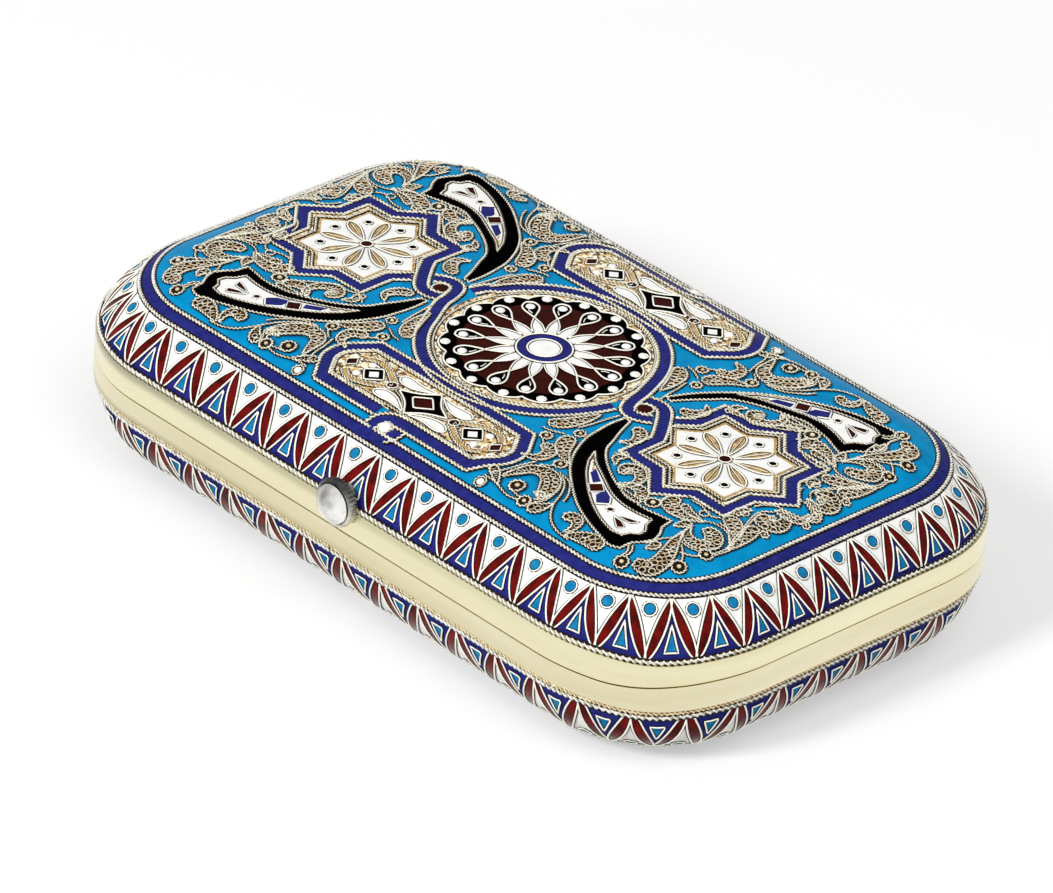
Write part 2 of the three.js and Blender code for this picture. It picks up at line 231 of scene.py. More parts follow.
# %% Enamel
def enamel(name, shade, light, cloud_scale=700, gloss=0.16, specular=0.01):
    """Opaque enamel: a dark and a light tone of one colour, in small clouds."""
    finish, tree, shader, where = start_finish(name)
    clouds = noise(tree, where, cloud_scale, 4, 0.6)
    middle = tuple((a + b) / 2 for a, b in zip(linear(*shade), linear(*light)))
    stops = [(0.3, linear(*shade)), (0.5, middle), (0.72, linear(*light))]
    tree.links.new(ramp(tree, clouds, stops), shader.inputs["Base Color"])
    rubbed = noise(tree, where, 260, 5, 0.65)
    tree.links.new(spread(tree, rubbed, gloss * 0.8, gloss * 1.9), shader.inputs["Roughness"])
    shader.inputs["Specular IOR Level"].default_value = specular
    bump(tree, shader, noise(tree, where, 1500, 2), 0.12, 0.00006)
    return finish


# %% Polished and gilt metal
def metal(name, shade, light, roughness, grain_scale=500, grain=0.1, worn_scale=95, stretch=None):
    """Polished or gilt metal with soft patches and a fine grain; the patches are partly wear and partly
    painted reflection streaks.
    """
    finish, tree, shader, where = start_finish(name)
    if stretch:
        where = add_node(tree, "Mapping", {"Vector": where, "Scale": stretch}, "Vector")
    wear_and_streaks = noise(tree, where, worn_scale, 5, 0.6)
    stops = [(0.34, linear(*shade)), (0.62, linear(*light))]
    tree.links.new(ramp(tree, wear_and_streaks, stops), shader.inputs["Base Color"])
    tree.links.new(spread(tree, wear_and_streaks, roughness * 0.8, roughness * 1.35), shader.inputs["Roughness"])
    shader.inputs["Metallic"].default_value = 1
    bump(tree, shader, noise(tree, where, grain_scale, 4), grain, 0.00004)
    return finish


def paint_shade_towards(finish, clear_height, dull_height, left_share, right_share, blend="LINEAR"):
    """Painted shade: darkens a metal's tone towards one height, to a share that runs from the left end to
    the right.
    """
    tree = finish.node_tree
    base = tree.nodes["Principled BSDF"].inputs["Base Color"]
    tone = base.links[0].from_socket
    where = add_node(tree, "TexCoord", {}, "Object")
    east = add_node(tree, "SeparateXYZ", {"Vector": where}, "X")
    up = east.node.outputs["Z"]
    ends = {"From Min": -40 * MM, "From Max": 40 * MM, "To Min": left_share, "To Max": right_share}
    share = add_node(tree, "MapRange", {"Value": east, **ends}, "Result")
    ends = {"From Min": clear_height * MM, "From Max": dull_height * MM, "To Min": 1, "To Max": share}
    level = add_node(tree, "MapRange", {"Value": up, **ends}, "Result", interpolation_type=blend)
    tree.links.new(add_node(tree, "VectorMath", {0: tone, "Scale": level}, operation="SCALE"), base)


# %% Twisted wire and gilt scrap
def twisted(name, dark, middle, light):
    """Twisted wire: painted highlight on the crest of each strand and painted shade in the furrow."""
    finish, tree, shader, where = start_finish(name)
    crest = add_node(tree, "Attribute", {}, "Fac", attribute_name="crest")
    shifted = add_node(tree, "Math", {0: crest, 1: 0.25}, operation="SUBTRACT")
    inputs = {0: noise(tree, where, 1400, 2), 1: 0.5, 2: shifted}
    uneven = add_node(tree, "Math", inputs, operation="MULTIPLY_ADD")
    stops = [(0.36, linear(*dark)), (0.5, linear(*middle)), (0.62, linear(*light))]
    tree.links.new(ramp(tree, uneven, stops), shader.inputs["Base Color"])
    shader.inputs["Metallic"].default_value = 0.25
    shader.inputs["Roughness"].default_value = 0.34
    bump(tree, shader, noise(tree, where, 2200, 2), 0.2, 0.00003)
    return finish


def granules(name, tones, cell_size):
    """Fine wire scrap and grains soldered close together: each cell takes one of the tones."""
    finish, tree, shader, where = start_finish(name)
    cells = add_node(tree, "TexVoronoi", {"Vector": where, "Scale": 1 / (cell_size * MM)}, "Color")
    which = add_node(tree, "SeparateColor", {"Color": cells}, "Red")
    stops = [(index / len(tones), linear(*tone)) for index, tone in enumerate(tones)]
    colour = ramp(tree, which, stops)
    colour.node.color_ramp.interpolation = "CONSTANT"
    tree.links.new(colour, shader.inputs["Base Color"])
    shader.inputs["Metallic"].default_value = 0.35
    shader.inputs["Roughness"].default_value = 0.4
    inputs = {"Value": cells.node.outputs["Distance"], "From Max": 0.7, "To Min": 1, "To Max": 0}
    bump(tree, shader, add_node(tree, "MapRange", inputs, "Result"), 0.5, 0.00012)
    return finish


# %% The finishes of this case
NAVY = enamel("navy_enamel", (28, 32, 98), (44, 48, 124), 900)
TURQUOISE = enamel("turquoise_enamel", (2, 126, 180), (12, 146, 200), 500)
WHITE = enamel("white_enamel", (236, 236, 232), (250, 250, 249), 600)
BLACK = enamel("black_enamel", (1, 1, 1), (7, 6, 6), 600, 0.12, 0.0)
RED = enamel("dark_red_enamel", (44, 7, 6), (124, 17, 15), 620, 0.12, 0.04)
# Painted shade: the petals' dark red rims stand for the shade where the enamel meets its wires.
DEEP_RED = enamel("deep_red_edge_enamel", (24, 6, 6), (54, 10, 8), 700, 0.12, 0.15)
BROWN_RED = enamel("brown_red_enamel", (38, 7, 3), (62, 14, 7), 800, 0.14, 0.01)
# Dark brown: the ground inside the filigree leaves and rings, and the strips of painted shade beside every
# wire.
DEEP_BROWN = enamel("dark_brown_ground", (12, 8, 6), (54, 36, 22), 1500, 0.3, 0.05)
SKY = enamel("sky_dot_enamel", (12, 100, 148), (34, 134, 182), 1000)
OCHRE = enamel("ochre_enamel", (128, 90, 40), (236, 200, 128), 1100, 0.3, 0.2)
# Stretches the bands' patches lengthwise into long streaks, partly wear and partly painted reflection.
LENGTHWISE = (0.16, 0.16, 1.6)
GILT = metal("pale_gilt_band", (230, 220, 176), (246, 240, 204), 0.22, 500, 0.1, 80, LENGTHWISE)
PALE_GILT = metal("pale_gilt_base_band", (224, 214, 174), (240, 233, 202), 0.24, 500, 0.1, 80, LENGTHWISE)
# Painted shade: the lid band darkens under its rope and the base band above its foot rope, most towards the
# left (-x) end.
paint_shade_towards(GILT, 15.3, 16.7, 0.5, 0.95, "SMOOTHSTEP")
paint_shade_towards(PALE_GILT, 11.5, 10.3, 0.6, 1, "SMOOTHSTEP")
INNER_GILT = metal("gilt_inside", (222, 190, 110), (240, 214, 142), 0.24)
# Painted light on the wires: the dark tones are painted shade in furrows and at feet, the light tones
# painted highlights on crests.
ROPE = twisted("twisted_gilt_wire", (24, 18, 10), (198, 184, 140), (255, 253, 240))
LINE_ROPE = twisted("twisted_line_wire", (34, 30, 22), (196, 190, 170), (255, 254, 248))
FOOT_ROPE = twisted("twisted_foot_wire", (26, 20, 14), (196, 188, 162), (255, 255, 248))
GOLD_ROPE = twisted("twisted_gold_wire", (58, 36, 14), (200, 160, 92), (255, 244, 206))
BUTTON_SILVER = metal("button_silver", (150, 147, 140), (255, 254, 250), 0.24, 900, 0.05, 210)
COLLAR_SILVER = metal("collar_silver", (150, 147, 140), (250, 249, 244), 0.3, 1200, 0.15, 600)
# Painted shade: the button darkens towards its top, and the cup far more towards its top.
paint_shade_towards(BUTTON_SILVER, 17.2, 21.0, 0.72, 0.72)
paint_shade_towards(COLLAR_SILVER, 16.2, 20.2, 0.08, 0.08)
STEEL = metal("spring_metal", (140, 140, 138), (176, 175, 172), 0.3, 900, 0.1)
HINGE_GILT = metal("hinge_gilt", (216, 190, 122), (246, 230, 176), 0.26, 700, 0.12, 420)
LOOP_GILT = metal("loop_gilt", (196, 156, 92), (255, 253, 236), 0.3, 1600, 0.15, 1100)
GRAIN_GILT = metal("gilt_grain", (214, 190, 134), (252, 240, 204), 0.3, 1600, 0.15)
SCRAP_TONES = [(84, 56, 28), (224, 192, 126), (252, 242, 214), (212, 170, 98), (255, 252, 236),
               (112, 84, 48)]
SCRAP = granules("gilt_scrap_ground", SCRAP_TONES, 0.42)
print("finishes:", len(bpy.data.materials))

# %% [markdown]
# ## The shape that everything lies on
# Seen from above the case is a rounded rectangle. Each pan rises from a flat foot in a quick curve,
# the shoulder, and ends in a nearly flat face. The wires and enamels follow this surface, so it is
# written once as a function: give it a place in plan and it answers with the point in space.

# %% The case's own measures
HALF_LENGTH = 55.3
HALF_WIDTH = 34.0
CORNER = 19.4
SEAM_HEIGHT = 13.3
FOOT_INSET = 0.66
SHOULDER_WIDTH = 10.4
BAND_WALL = 1.5
BAND_EDGE = 0.25
SEAM_HALF_GAP = 0.06
LID = {"foot": 16.9, "height": 7.9, "crown": 1.0, "way": 1, "power": 1.6}
BASE = {"foot": 10.5, "height": 10.0, "crown": 0.0, "way": -1, "power": 2.1}
print("plan", 2 * HALF_LENGTH, "by", 2 * HALF_WIDTH, "mm")


# %% The surface as a function
def beyond_straights(x, y):
    """How far a place in plan lies beyond the straight parts of the sides."""
    return np.abs(x) - (HALF_LENGTH - CORNER), np.abs(y) - (HALF_WIDTH - CORNER)


def inset_at(x, y):
    """How far a place in plan lies inside the outline."""
    beyond_x, beyond_y = beyond_straights(x, y)
    corner = np.hypot(np.maximum(beyond_x, 0), np.maximum(beyond_y, 0))
    return CORNER - corner - np.minimum(np.maximum(beyond_x, beyond_y), 0)


def outward_at(x, y):
    """Unit vector in plan towards the nearest side."""
    beyond_x, beyond_y = beyond_straights(x, y)
    in_corner = (beyond_x > 0) & (beyond_y > 0)
    length = np.maximum(np.hypot(beyond_x, beyond_y), 1e-9)
    out_x = np.where(in_corner, beyond_x / length, beyond_x >= beyond_y)
    out_y = np.where(in_corner, beyond_y / length, beyond_x < beyond_y)
    return out_x * np.sign(x), out_y * np.sign(y)


def skin(face, x, y, lift=0.0):
    """Points on a pan's surface over places in plan, raised by lift along the normal."""
    x, y = np.asarray(x, float), np.asarray(y, float)
    inset = np.clip(inset_at(x, y), FOOT_INSET, None)
    share = np.clip(1 - (inset - FOOT_INSET) / SHOULDER_WIDTH, 0, 1)
    power = face["power"]
    climb = (1 - share**power) ** (1 / power)
    out_x, out_y = outward_at(x, y)
    slope_out = share ** (power - 1) / SHOULDER_WIDTH
    slope_up = np.maximum(climb ** (power - 1) / face["height"], 1e-6)
    length = np.hypot(slope_out, slope_up)
    slope_out, slope_up = slope_out / length, slope_up / length
    swell = face["crown"] * (1 - (x / HALF_LENGTH) ** 2) * (1 - (y / HALF_WIDTH) ** 2)
    rise = face["height"] * climb + np.maximum(swell, 0) + lift * slope_up
    return np.stack(
        [x + lift * slope_out * out_x, y + lift * slope_out * out_y, face["foot"] + face["way"] * rise],
        axis=-1,
    )


def shoulder_inset(share, face):
    """Inset at a share of the quarter turn from the foot to the face, 0 to 1."""
    turn = np.asarray(share) * math.pi / 2
    return FOOT_INSET + SHOULDER_WIDTH * (1 - np.maximum(np.cos(turn), 0) ** (2 / face["power"]))


print("top of the lid", skin(LID, 0, 0).round(2))

# %% [markdown]
# ## Small tools for the bench
# Every piece ends the same way: its object sits at the origin, it rides on the base, the lid or the
# button, and the CAD parts it stands for, if any, are hidden. Operators act on all that is selected,
# so each step starts from nothing selected.

# %% Selecting and opening a piece
def clear_selection():
    if bpy.context.object and bpy.context.object.mode != "OBJECT":
        bpy.ops.object.mode_set(mode="OBJECT")
    bpy.ops.object.select_all(action="DESELECT")


def pick(piece):
    clear_selection()
    piece.select_set(True)
    bpy.context.view_layer.objects.active = piece


def settle(piece):
    """Puts the piece's place, turn and size into its mesh."""
    pick(piece)
    bpy.ops.object.transform_apply(location=True, rotation=True, scale=True)


def open_whole(piece):
    """Opens a piece for editing with all of it selected."""
    pick(piece)
    bpy.ops.object.mode_set(mode="EDIT")
    bpy.ops.mesh.select_all(action="SELECT")


def close_outward():
    """Turns every face outward and leaves edit mode."""
    bpy.ops.mesh.normals_make_consistent(inside=False)
    bpy.ops.object.mode_set(mode="OBJECT")


def places_of(vertices):
    """Vertex places in millimetres, one row each."""
    return np.array([vertex.co.to_tuple() for vertex in vertices]) / MM


def lay_on_skin(vertices, face, lift=0.0):
    """Moves flat vertices straight up or down onto a pan's surface."""
    flat = places_of(vertices)
    for vertex, place in zip(vertices, skin(face, flat[:, 0], flat[:, 1], lift) * MM):
        vertex.co = place


def piece_of(name, mesh):
    piece = bpy.data.objects.new(name, mesh)
    bpy.context.scene.collection.objects.link(piece)
    return piece


# %% Dressing a piece
PIECES = []


def dress(piece, name, finish, body, stands_for=(), smooth=35):
    piece.name = piece.data.name = name
    PIECES.append(piece)
    piece.data.materials.clear()
    piece.data.materials.append(finish)
    pick(piece)
    if smooth:
        bpy.ops.object.shade_smooth_by_angle(angle=math.radians(smooth))
    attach(piece, body)
    if stands_for:
        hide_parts(*stands_for)
    return piece


# %% Modifiers and cuts
def apply_modifier(piece, kind, **settings):
    pick(piece)
    modifier = piece.modifiers.new(kind.lower(), kind)
    for key, value in settings.items():
        setattr(modifier, key, value)
    bpy.ops.object.modifier_apply(modifier=modifier.name)


def carve(piece, tool):
    """Cuts the tool's shape out of the piece and throws the tool away."""
    apply_modifier(piece, "BOOLEAN", operation="DIFFERENCE", object=tool, solver="EXACT")
    bpy.data.objects.remove(tool)


# %% The outline, and a ring from it
def rounded_face(inset, height, segments=28):
    """A flat face in the case's outline, set in by inset: a plane with its four corners bevelled."""
    clear_selection()
    bpy.ops.mesh.primitive_plane_add(size=1, location=(0, 0, height * MM))
    piece = bpy.context.object
    piece.scale = (2 * (HALF_LENGTH - inset) * MM, 2 * (HALF_WIDTH - inset) * MM, 1)
    settle(piece)
    open_whole(piece)
    bpy.ops.mesh.bevel(offset=(CORNER - inset) * MM, segments=segments, affect="VERTICES")
    return piece


def ring_of_metal(inset, wall, low, high):
    """A closed band: the rounded face, inset by the wall, its middle taken out, drawn up."""
    piece = rounded_face(inset, low, 40)
    bpy.ops.mesh.select_mode(type="FACE")
    bpy.ops.mesh.select_all(action="SELECT")
    bpy.ops.mesh.inset(thickness=wall * MM, use_boundary=True)
    bpy.ops.mesh.delete(type="FACE")
    bpy.ops.mesh.select_all(action="SELECT")
    bpy.ops.mesh.extrude_region_move(TRANSFORM_OT_translate={"value": (0, 0, (high - low) * MM)})
    bpy.ops.mesh.select_all(action="SELECT")
    close_outward()
    return piece


def edges_where(piece, test):
    """Selects the edges whose two ends both pass the test, in edit mode."""
    pick(piece)
    bpy.ops.object.mode_set(mode="EDIT")
    bpy.ops.mesh.select_mode(type="EDGE")
    bpy.ops.mesh.select_all(action="DESELECT")
    drawing = bmesh.from_edit_mesh(piece.data)
    for edge in drawing.edges:
        edge.select_set(all(test(vertex.co / MM) for vertex in edge.verts))
    bmesh.update_edit_mesh(piece.data)


def rod_along(axis, radius, start, end, centre):
    """A plain rod to cut with, from start to end along x or y."""
    clear_selection()
    middle = Vector(centre)
    middle["xyz".index(axis)] = (start + end) / 2
    turn = (0, math.pi / 2, 0) if axis == "x" else (math.pi / 2, 0, 0)
    bpy.ops.mesh.primitive_cylinder_add(
        vertices=64, radius=radius * MM, depth=abs(end - start) * MM, location=middle * MM, rotation=turn
    )
    return bpy.context.object


# %% [markdown]
# ## Gilt bands
# The band is a strip bent round the outline and soldered into a ring, with the edge at the seam
# eased by a file so that the closed case shows a soft line. Here the outline is a plane with
# bevelled corners, inset and drawn up, which leaves an even wall all round.

# %% The two bands
BUTTON_X = 1.6
BUTTON_HEIGHT = 17.5
NECK_RADIUS = 1.85
HINGE_Y = 34.0
HINGE_HALF = 30.2
GROOVE_RADIUS = 2.0


def gilt_band(name, low, high, seam, finish, body, node):
    piece = ring_of_metal(0, BAND_WALL, low, high)
    on_seam = lambda place: abs(place.z - seam) < 0.01 and inset_at(place.x, place.y) < 0.1
    edges_where(piece, on_seam)
    bpy.ops.mesh.bevel(offset=BAND_EDGE * MM, segments=4, affect="EDGES")
    bpy.ops.object.mode_set(mode="OBJECT")
    carve(piece, rod_along("x", GROOVE_RADIUS, -HINGE_HALF, HINGE_HALF, (0, HINGE_Y, SEAM_HEIGHT)))
    if body == "lid":
        neck = (BUTTON_X, 0, BUTTON_HEIGHT)
        carve(piece, rod_along("y", NECK_RADIUS + 0.2, -HALF_WIDTH - 5, -HALF_WIDTH + 5, neck))
    dress(piece, name, finish, body, [node], 40)
    print(name, len(piece.data.polygons), "faces")


lid_seam = SEAM_HEIGHT + SEAM_HALF_GAP
base_seam = SEAM_HEIGHT - SEAM_HALF_GAP
gilt_band("lid_gilt_band", lid_seam, LID["foot"], lid_seam, GILT, "lid", "lid_band")
gilt_band("base_gilt_band", BASE["foot"], base_seam, base_seam, PALE_GILT, "base", "base_band")

# %% [markdown]
# ## The pans and their enamel grounds
# Each pan is raised from one sheet. The white ground of the border, the navy line and the turquoise
# field are melted onto it as one thin coat, divided by wires. The sheet is made once: the rounded
# face is inset step by step up the shoulder and then drawn together to the middle. Each coat is a
# copy of it cut at its wires and given a thickness.

# %% The sheet of a pan
SHOULDER_STEPS = 26
LINE_OUTER = 5.35
LINE_INNER = 6.6
PAN_WALL = 0.9
PAN_DROP = 0.04
EVERYTHING = 99
FACE_STEPS = (0.93, 0.86, 0.78, 0.69, 0.6, 0.5, 0.4, 0.3, 0.2, 0.1)


def pan_sheet(face):
    """The smooth surface of a pan from its foot to its middle."""
    insets = list(shoulder_inset(np.linspace(0, 1, SHOULDER_STEPS), face))
    insets = sorted(insets + [LINE_OUTER, LINE_INNER])
    piece = rounded_face(insets[0], 0)
    bpy.ops.mesh.select_mode(type="FACE")
    for near, far in zip(insets, insets[1:]):
        bpy.ops.mesh.inset(thickness=(far - near) * MM, use_even_offset=True)
    scale = 1
    for step in FACE_STEPS:
        bpy.ops.mesh.extrude_region_move()
        bpy.ops.transform.resize(value=(step / scale, step / scale, 1), center_override=(0, 0, 0))
        scale = step
    bpy.ops.mesh.poke()
    bpy.ops.mesh.select_all(action="SELECT")
    bpy.ops.mesh.remove_doubles(threshold=1e-7)
    bpy.ops.mesh.delete_loose()
    bpy.ops.object.mode_set(mode="OBJECT")
    lay_on_skin(piece.data.vertices, face)
    return piece


# %% Coats cut from the sheet
def copy_of(piece):
    twin = piece.copy()
    twin.data = piece.data.copy()
    bpy.context.scene.collection.objects.link(twin)
    return twin


def coat(sheet, face, name, from_inset, to_inset, finish, body, thickness=0.1):
    """One enamel of the ground: the part of the sheet between two wires."""
    piece = copy_of(sheet)
    drawing = bmesh.new()
    drawing.from_mesh(piece.data)
    outside = []
    for polygon in drawing.faces:
        middle = polygon.calc_center_median() / MM
        depth = inset_at(middle.x, middle.y)
        if not from_inset < depth < to_inset:
            outside.append(polygon)
    bmesh.ops.delete(drawing, geom=outside, context="FACES")
    bmesh.ops.recalc_face_normals(drawing, faces=drawing.faces)
    middle_face = max(drawing.faces, key=lambda polygon: polygon.calc_area())
    if middle_face.normal.z * face["way"] < 0:
        bmesh.ops.reverse_faces(drawing, faces=drawing.faces)
    drawing.to_mesh(piece.data)
    drawing.free()
    apply_modifier(piece, "SOLIDIFY", thickness=thickness * MM, offset=-1, use_even_offset=True)
    return dress(piece, name, finish, body)


def pan(sheet, face, name, finish, body, node):
    """The gilt pan under the enamel, one wall thick and a hair below it."""
    piece = coat(sheet, face, name, 0, EVERYTHING, finish, body, PAN_WALL)
    for vertex in piece.data.vertices:
        vertex.co.z -= face["way"] * PAN_DROP * MM
    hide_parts(node)


COATS = (("border_white_ground", 0, LINE_OUTER, WHITE, "enamel_border"),
         ("navy_line", LINE_OUTER, LINE_INNER, NAVY, "enamel_border"),
         ("turquoise_field", LINE_INNER, EVERYTHING, TURQUOISE, "enamel_field"))
for body, face in (("lid", LID), ("base", BASE)):
    sheet = pan_sheet(face)
    pan(sheet, face, f"{body}_pan", INNER_GILT, body, f"{body}_shell")
    for name, low, high, finish, slot in COATS:
        piece = coat(sheet, face, f"{body}_{name}", low, high, finish, body)
        print(piece.name, len(piece.data.polygons), "faces")
    bpy.data.objects.remove(sheet)

# %% [markdown]
# ## Drawing on a curved face
# The ornament is drawn flat, in plan, as a maker scribes it on the metal before soldering the wires.
# The next helpers turn a few scribed points into a smooth line, shift a line sideways, and space
# points evenly along it on the curved surface. These are plain mesh code, because thousands of bent
# wires that must lie exactly on one surface are beyond what a primitive and operators can give.

# %% Lines in plan
def smooth_line(points, closed=False, steps=6):
    """A curve through scribed points (Catmull-Rom)."""
    p = np.asarray(points, float)
    ends = (p[-1:], p[:2]) if closed else (2 * p[:1] - p[1:2], 2 * p[-1:] - p[-2:-1])
    q = np.vstack([ends[0], p, ends[1]])
    t = np.linspace(0, 1, steps, endpoint=False)[:, None]
    pieces = []
    for a, b, c, d in zip(q, q[1:], q[2:], q[3:]):
        pieces.append(0.5 * (2 * b + (c - a) * t + (2 * a - 5 * b + 4 * c - d) * t**2
                             + (3 * b - a - 3 * c + d) * t**3))
    line = np.vstack(pieces)
    return line if closed else np.vstack([line, p[-1:]])


def offset_line(points, distance, closed=False):
    """The line shifted to its left by distance, with mitred corners."""
    p = np.asarray(points, float)
    after = np.roll(p, -1, axis=0) - p
    if not closed:
        after[-1] = after[-2]
    after /= np.maximum(np.linalg.norm(after, axis=1, keepdims=True), 1e-9)
    before = np.roll(after, 1, axis=0)
    if not closed:
        before[0] = after[0]
    left = np.stack([-(after + before)[:, 1], (after + before)[:, 0]], axis=1)
    left /= np.maximum(np.linalg.norm(left, axis=1, keepdims=True), 1e-9)
    normal = np.stack([-after[:, 1], after[:, 0]], axis=1)
    mitre = np.clip((left * normal).sum(axis=1), 0.35, 1)
    return p + left * (distance / mitre)[:, None]


def circle_line(x, y, radius, sides=48):
    turn = np.arange(sides) * 2 * math.pi / sides
    return np.stack([x + radius * np.cos(turn), y + radius * np.sin(turn)], axis=1)


def turned_about(points, x, y, degrees, mirror=1):
    """Points turned about a place, after a mirror in y where mirror is -1."""
    p = np.asarray(points, float) * (1, mirror)
    c, s = math.cos(math.radians(degrees)), math.sin(math.radians(degrees))
    return np.stack([x + p[:, 0] * c - p[:, 1] * s, y + p[:, 0] * s + p[:, 1] * c], axis=1)


# %% Even steps on the surface
def on_skin(face, line, closed, step, lift, whole=1):
    """Even steps along a line on the surface: places and surface normals, in millimetres."""
    p = np.asarray(line, float)
    if closed:
        p = np.vstack([p, p[:1]])
    fine = []
    for a, b in zip(p, p[1:]):
        count = max(1, int(np.hypot(*(b - a)) / 0.5))
        fine.append(a + (b - a) * (np.arange(count) / count)[:, None])
    fine = np.vstack(fine + [p[-1:]])
    placed = skin(face, fine[:, 0], fine[:, 1])
    along = np.concatenate([[0], np.cumsum(np.linalg.norm(np.diff(placed, axis=0), axis=1))])
    count = max(whole, int(round(along[-1] / step / whole)) * whole)
    wanted = np.linspace(0, along[-1], count + 1)
    if closed:
        wanted = wanted[:-1]
    x, y = (np.interp(wanted, along, fine[:, axis]) for axis in (0, 1))
    low, high = skin(face, x, y), skin(face, x, y, 1.0)
    normal = high - low
    return low + normal * lift, normal


# %% [markdown]
# ## Twisted wire
# The pale lines are two fine gilt wires twisted together and rolled a little flat. A tube whose oval
# section turns half a turn for each bead has the same outline and catches light bead by bead, at a
# fraction of the faces of two real strands. Thin plain wires part the small enamels.

# %% Wires and ropes
ROPE_PITCH = 0.6
ROPE_WIDTH = 0.6
FINE_ROPE = 0.54
WIRE_WIDTH = 0.26
ROPE_OVAL = 0.45
# Below, the two extra widths and the last step are for the flat strips of painted shade beside wires.
ROPE_SHADE_LINE = 0.2
WIRE_SHADE_LINE = 0.16
WIRE_STEP = 0.42
SHADE_LINE_STEP = 0.6
SIDES = 6


class Strands:
    """Gathers many wires into one mesh."""

    def __init__(self, face, seams=True):
        self.face = face
        # A second set of strands holds the flat dark strips of painted shade beside these wires.
        self.seams = Strands(face, False) if seams else None
        self.points = []
        self.faces = []
        self.crest = []
        self.count = 0

    def tube(self, line, closed, width, step, lift, twist=False, flat=1.0):
        """A tube of six sides; a twisted one has an oval section that turns an eighth at each step."""
        centre, normal = on_skin(self.face, line, closed, step, lift, 4 if twist else 1)
        number = len(centre)
        if number < 2:
            return
        tangent = np.gradient(centre, axis=0)
        if closed:
            tangent = np.roll(centre, -1, axis=0) - np.roll(centre, 1, axis=0)
        tangent /= np.maximum(np.linalg.norm(tangent, axis=1, keepdims=True), 1e-9)
        side = np.cross(normal, tangent)
        side /= np.maximum(np.linalg.norm(side, axis=1, keepdims=True), 1e-9)
        angle = np.arange(SIDES) * 2 * math.pi / SIDES
        # Painted light: the crest value lightens the ridges of each bead and the top of a plain wire, and
        # darkens the furrows and the foot.
        if twist:
            turn = np.arange(number) * math.pi / 4
            long_side, short_side = np.cos(angle), ROPE_OVAL * np.sin(angle)
            across = np.outer(np.cos(turn), long_side) - np.outer(np.sin(turn), short_side)
            upward = np.outer(np.sin(turn), long_side) + np.outer(np.cos(turn), short_side)
            crest = np.tile(np.abs(long_side), (number, 1))
        else:
            across, upward = np.tile(np.cos(angle), (number, 1)), np.tile(np.sin(angle) * flat, (number, 1))
            crest = 0.62 + 0.38 * upward
        ring = (centre[:, None, :] + side[:, None, :] * across[:, :, None] * width / 2
                + normal[:, None, :] * upward[:, :, None] * width / 2)
        self.points.append(ring.reshape(-1, 3))
        self.crest.append(crest.ravel())
        last = number if closed else number - 1
        row = np.arange(last)[:, None] * SIDES + np.arange(SIDES)
        beside = np.arange(last)[:, None] * SIDES + (np.arange(SIDES) + 1) % SIDES
        total = number * SIDES
        quads = np.stack([row, beside, (beside + SIDES) % total, (row + SIDES) % total], axis=-1)
        self.faces.append(quads.reshape(-1, 4) + self.count)
        if not closed:
            start_cap = np.array([[0, 5, 4, 3], [0, 3, 2, 1]])
            end_cap = np.array([[0, 1, 2, 3], [0, 3, 4, 5]]) + total - SIDES
            self.faces.append(np.vstack([start_cap, end_cap]) + self.count)
        self.count += total

    def seam(self, line, closed, width, lift):
        """A painted shade line: a flat dark strip on either side of a wire, where its groove lies in shade.
        """
        if self.seams:
            self.seams.tube(line, closed, width, SHADE_LINE_STEP, lift, flat=0.16)

    def rope(self, line, closed=False, width=ROPE_WIDTH, lift=0.02):
        self.seam(line, closed, width + ROPE_SHADE_LINE, lift)
        pitch = ROPE_PITCH * max(width, FINE_ROPE) / ROPE_WIDTH
        self.tube(line, closed, width, pitch / 4, lift, twist=True)

    def wire(self, line, closed=False, width=WIRE_WIDTH, lift=0.1):
        self.seam(line, closed, width + WIRE_SHADE_LINE, lift)
        self.tube(line, closed, width, WIRE_STEP, lift)

    def made(self, name, finish, body, slot, stands_for=()):
        drawing = bpy.data.meshes.new(name)
        points = np.vstack(self.points) * MM
        faces = np.vstack(self.faces)
        drawing.vertices.add(len(points))
        drawing.vertices.foreach_set("co", points.astype(np.float32).ravel())
        drawing.loops.add(faces.size)
        drawing.loops.foreach_set("vertex_index", faces.astype(np.int32).ravel())
        drawing.polygons.add(len(faces))
        drawing.polygons.foreach_set("loop_start", np.arange(len(faces), dtype=np.int32) * 4)
        drawing.update(calc_edges=True)
        # Painted light per point: bright on crests, dark in furrows and at the feet of wires.
        crest = drawing.attributes.new("crest", "FLOAT", "POINT")
        crest.data.foreach_set("value", np.concatenate(self.crest).astype(np.float32))
        piece = piece_of(name, drawing)
        dress(piece, name, finish, body, stands_for, 0)
        drawing.polygons.foreach_set("use_smooth", np.ones(len(faces), bool))
        print(name, 2 * len(faces), "triangles")
        # The strips of painted shade become their own dark brown piece.
        if self.seams and self.seams.count:
            self.seams.made(name + "_seams", DEEP_BROWN, body, "enamel_border")


# %% [markdown]
# ## Cells of enamel
# Each colour of a motif fills a cell between wires. A cell is scribed as an outline, cut into small
# tiles so that it can bend with the face, laid on it and given a thickness that sinks into the
# ground. All cells of one colour in one motif become one piece.

# %% Laying enamel cells
TILE = 1.7
CELL_DEPTH = 0.12


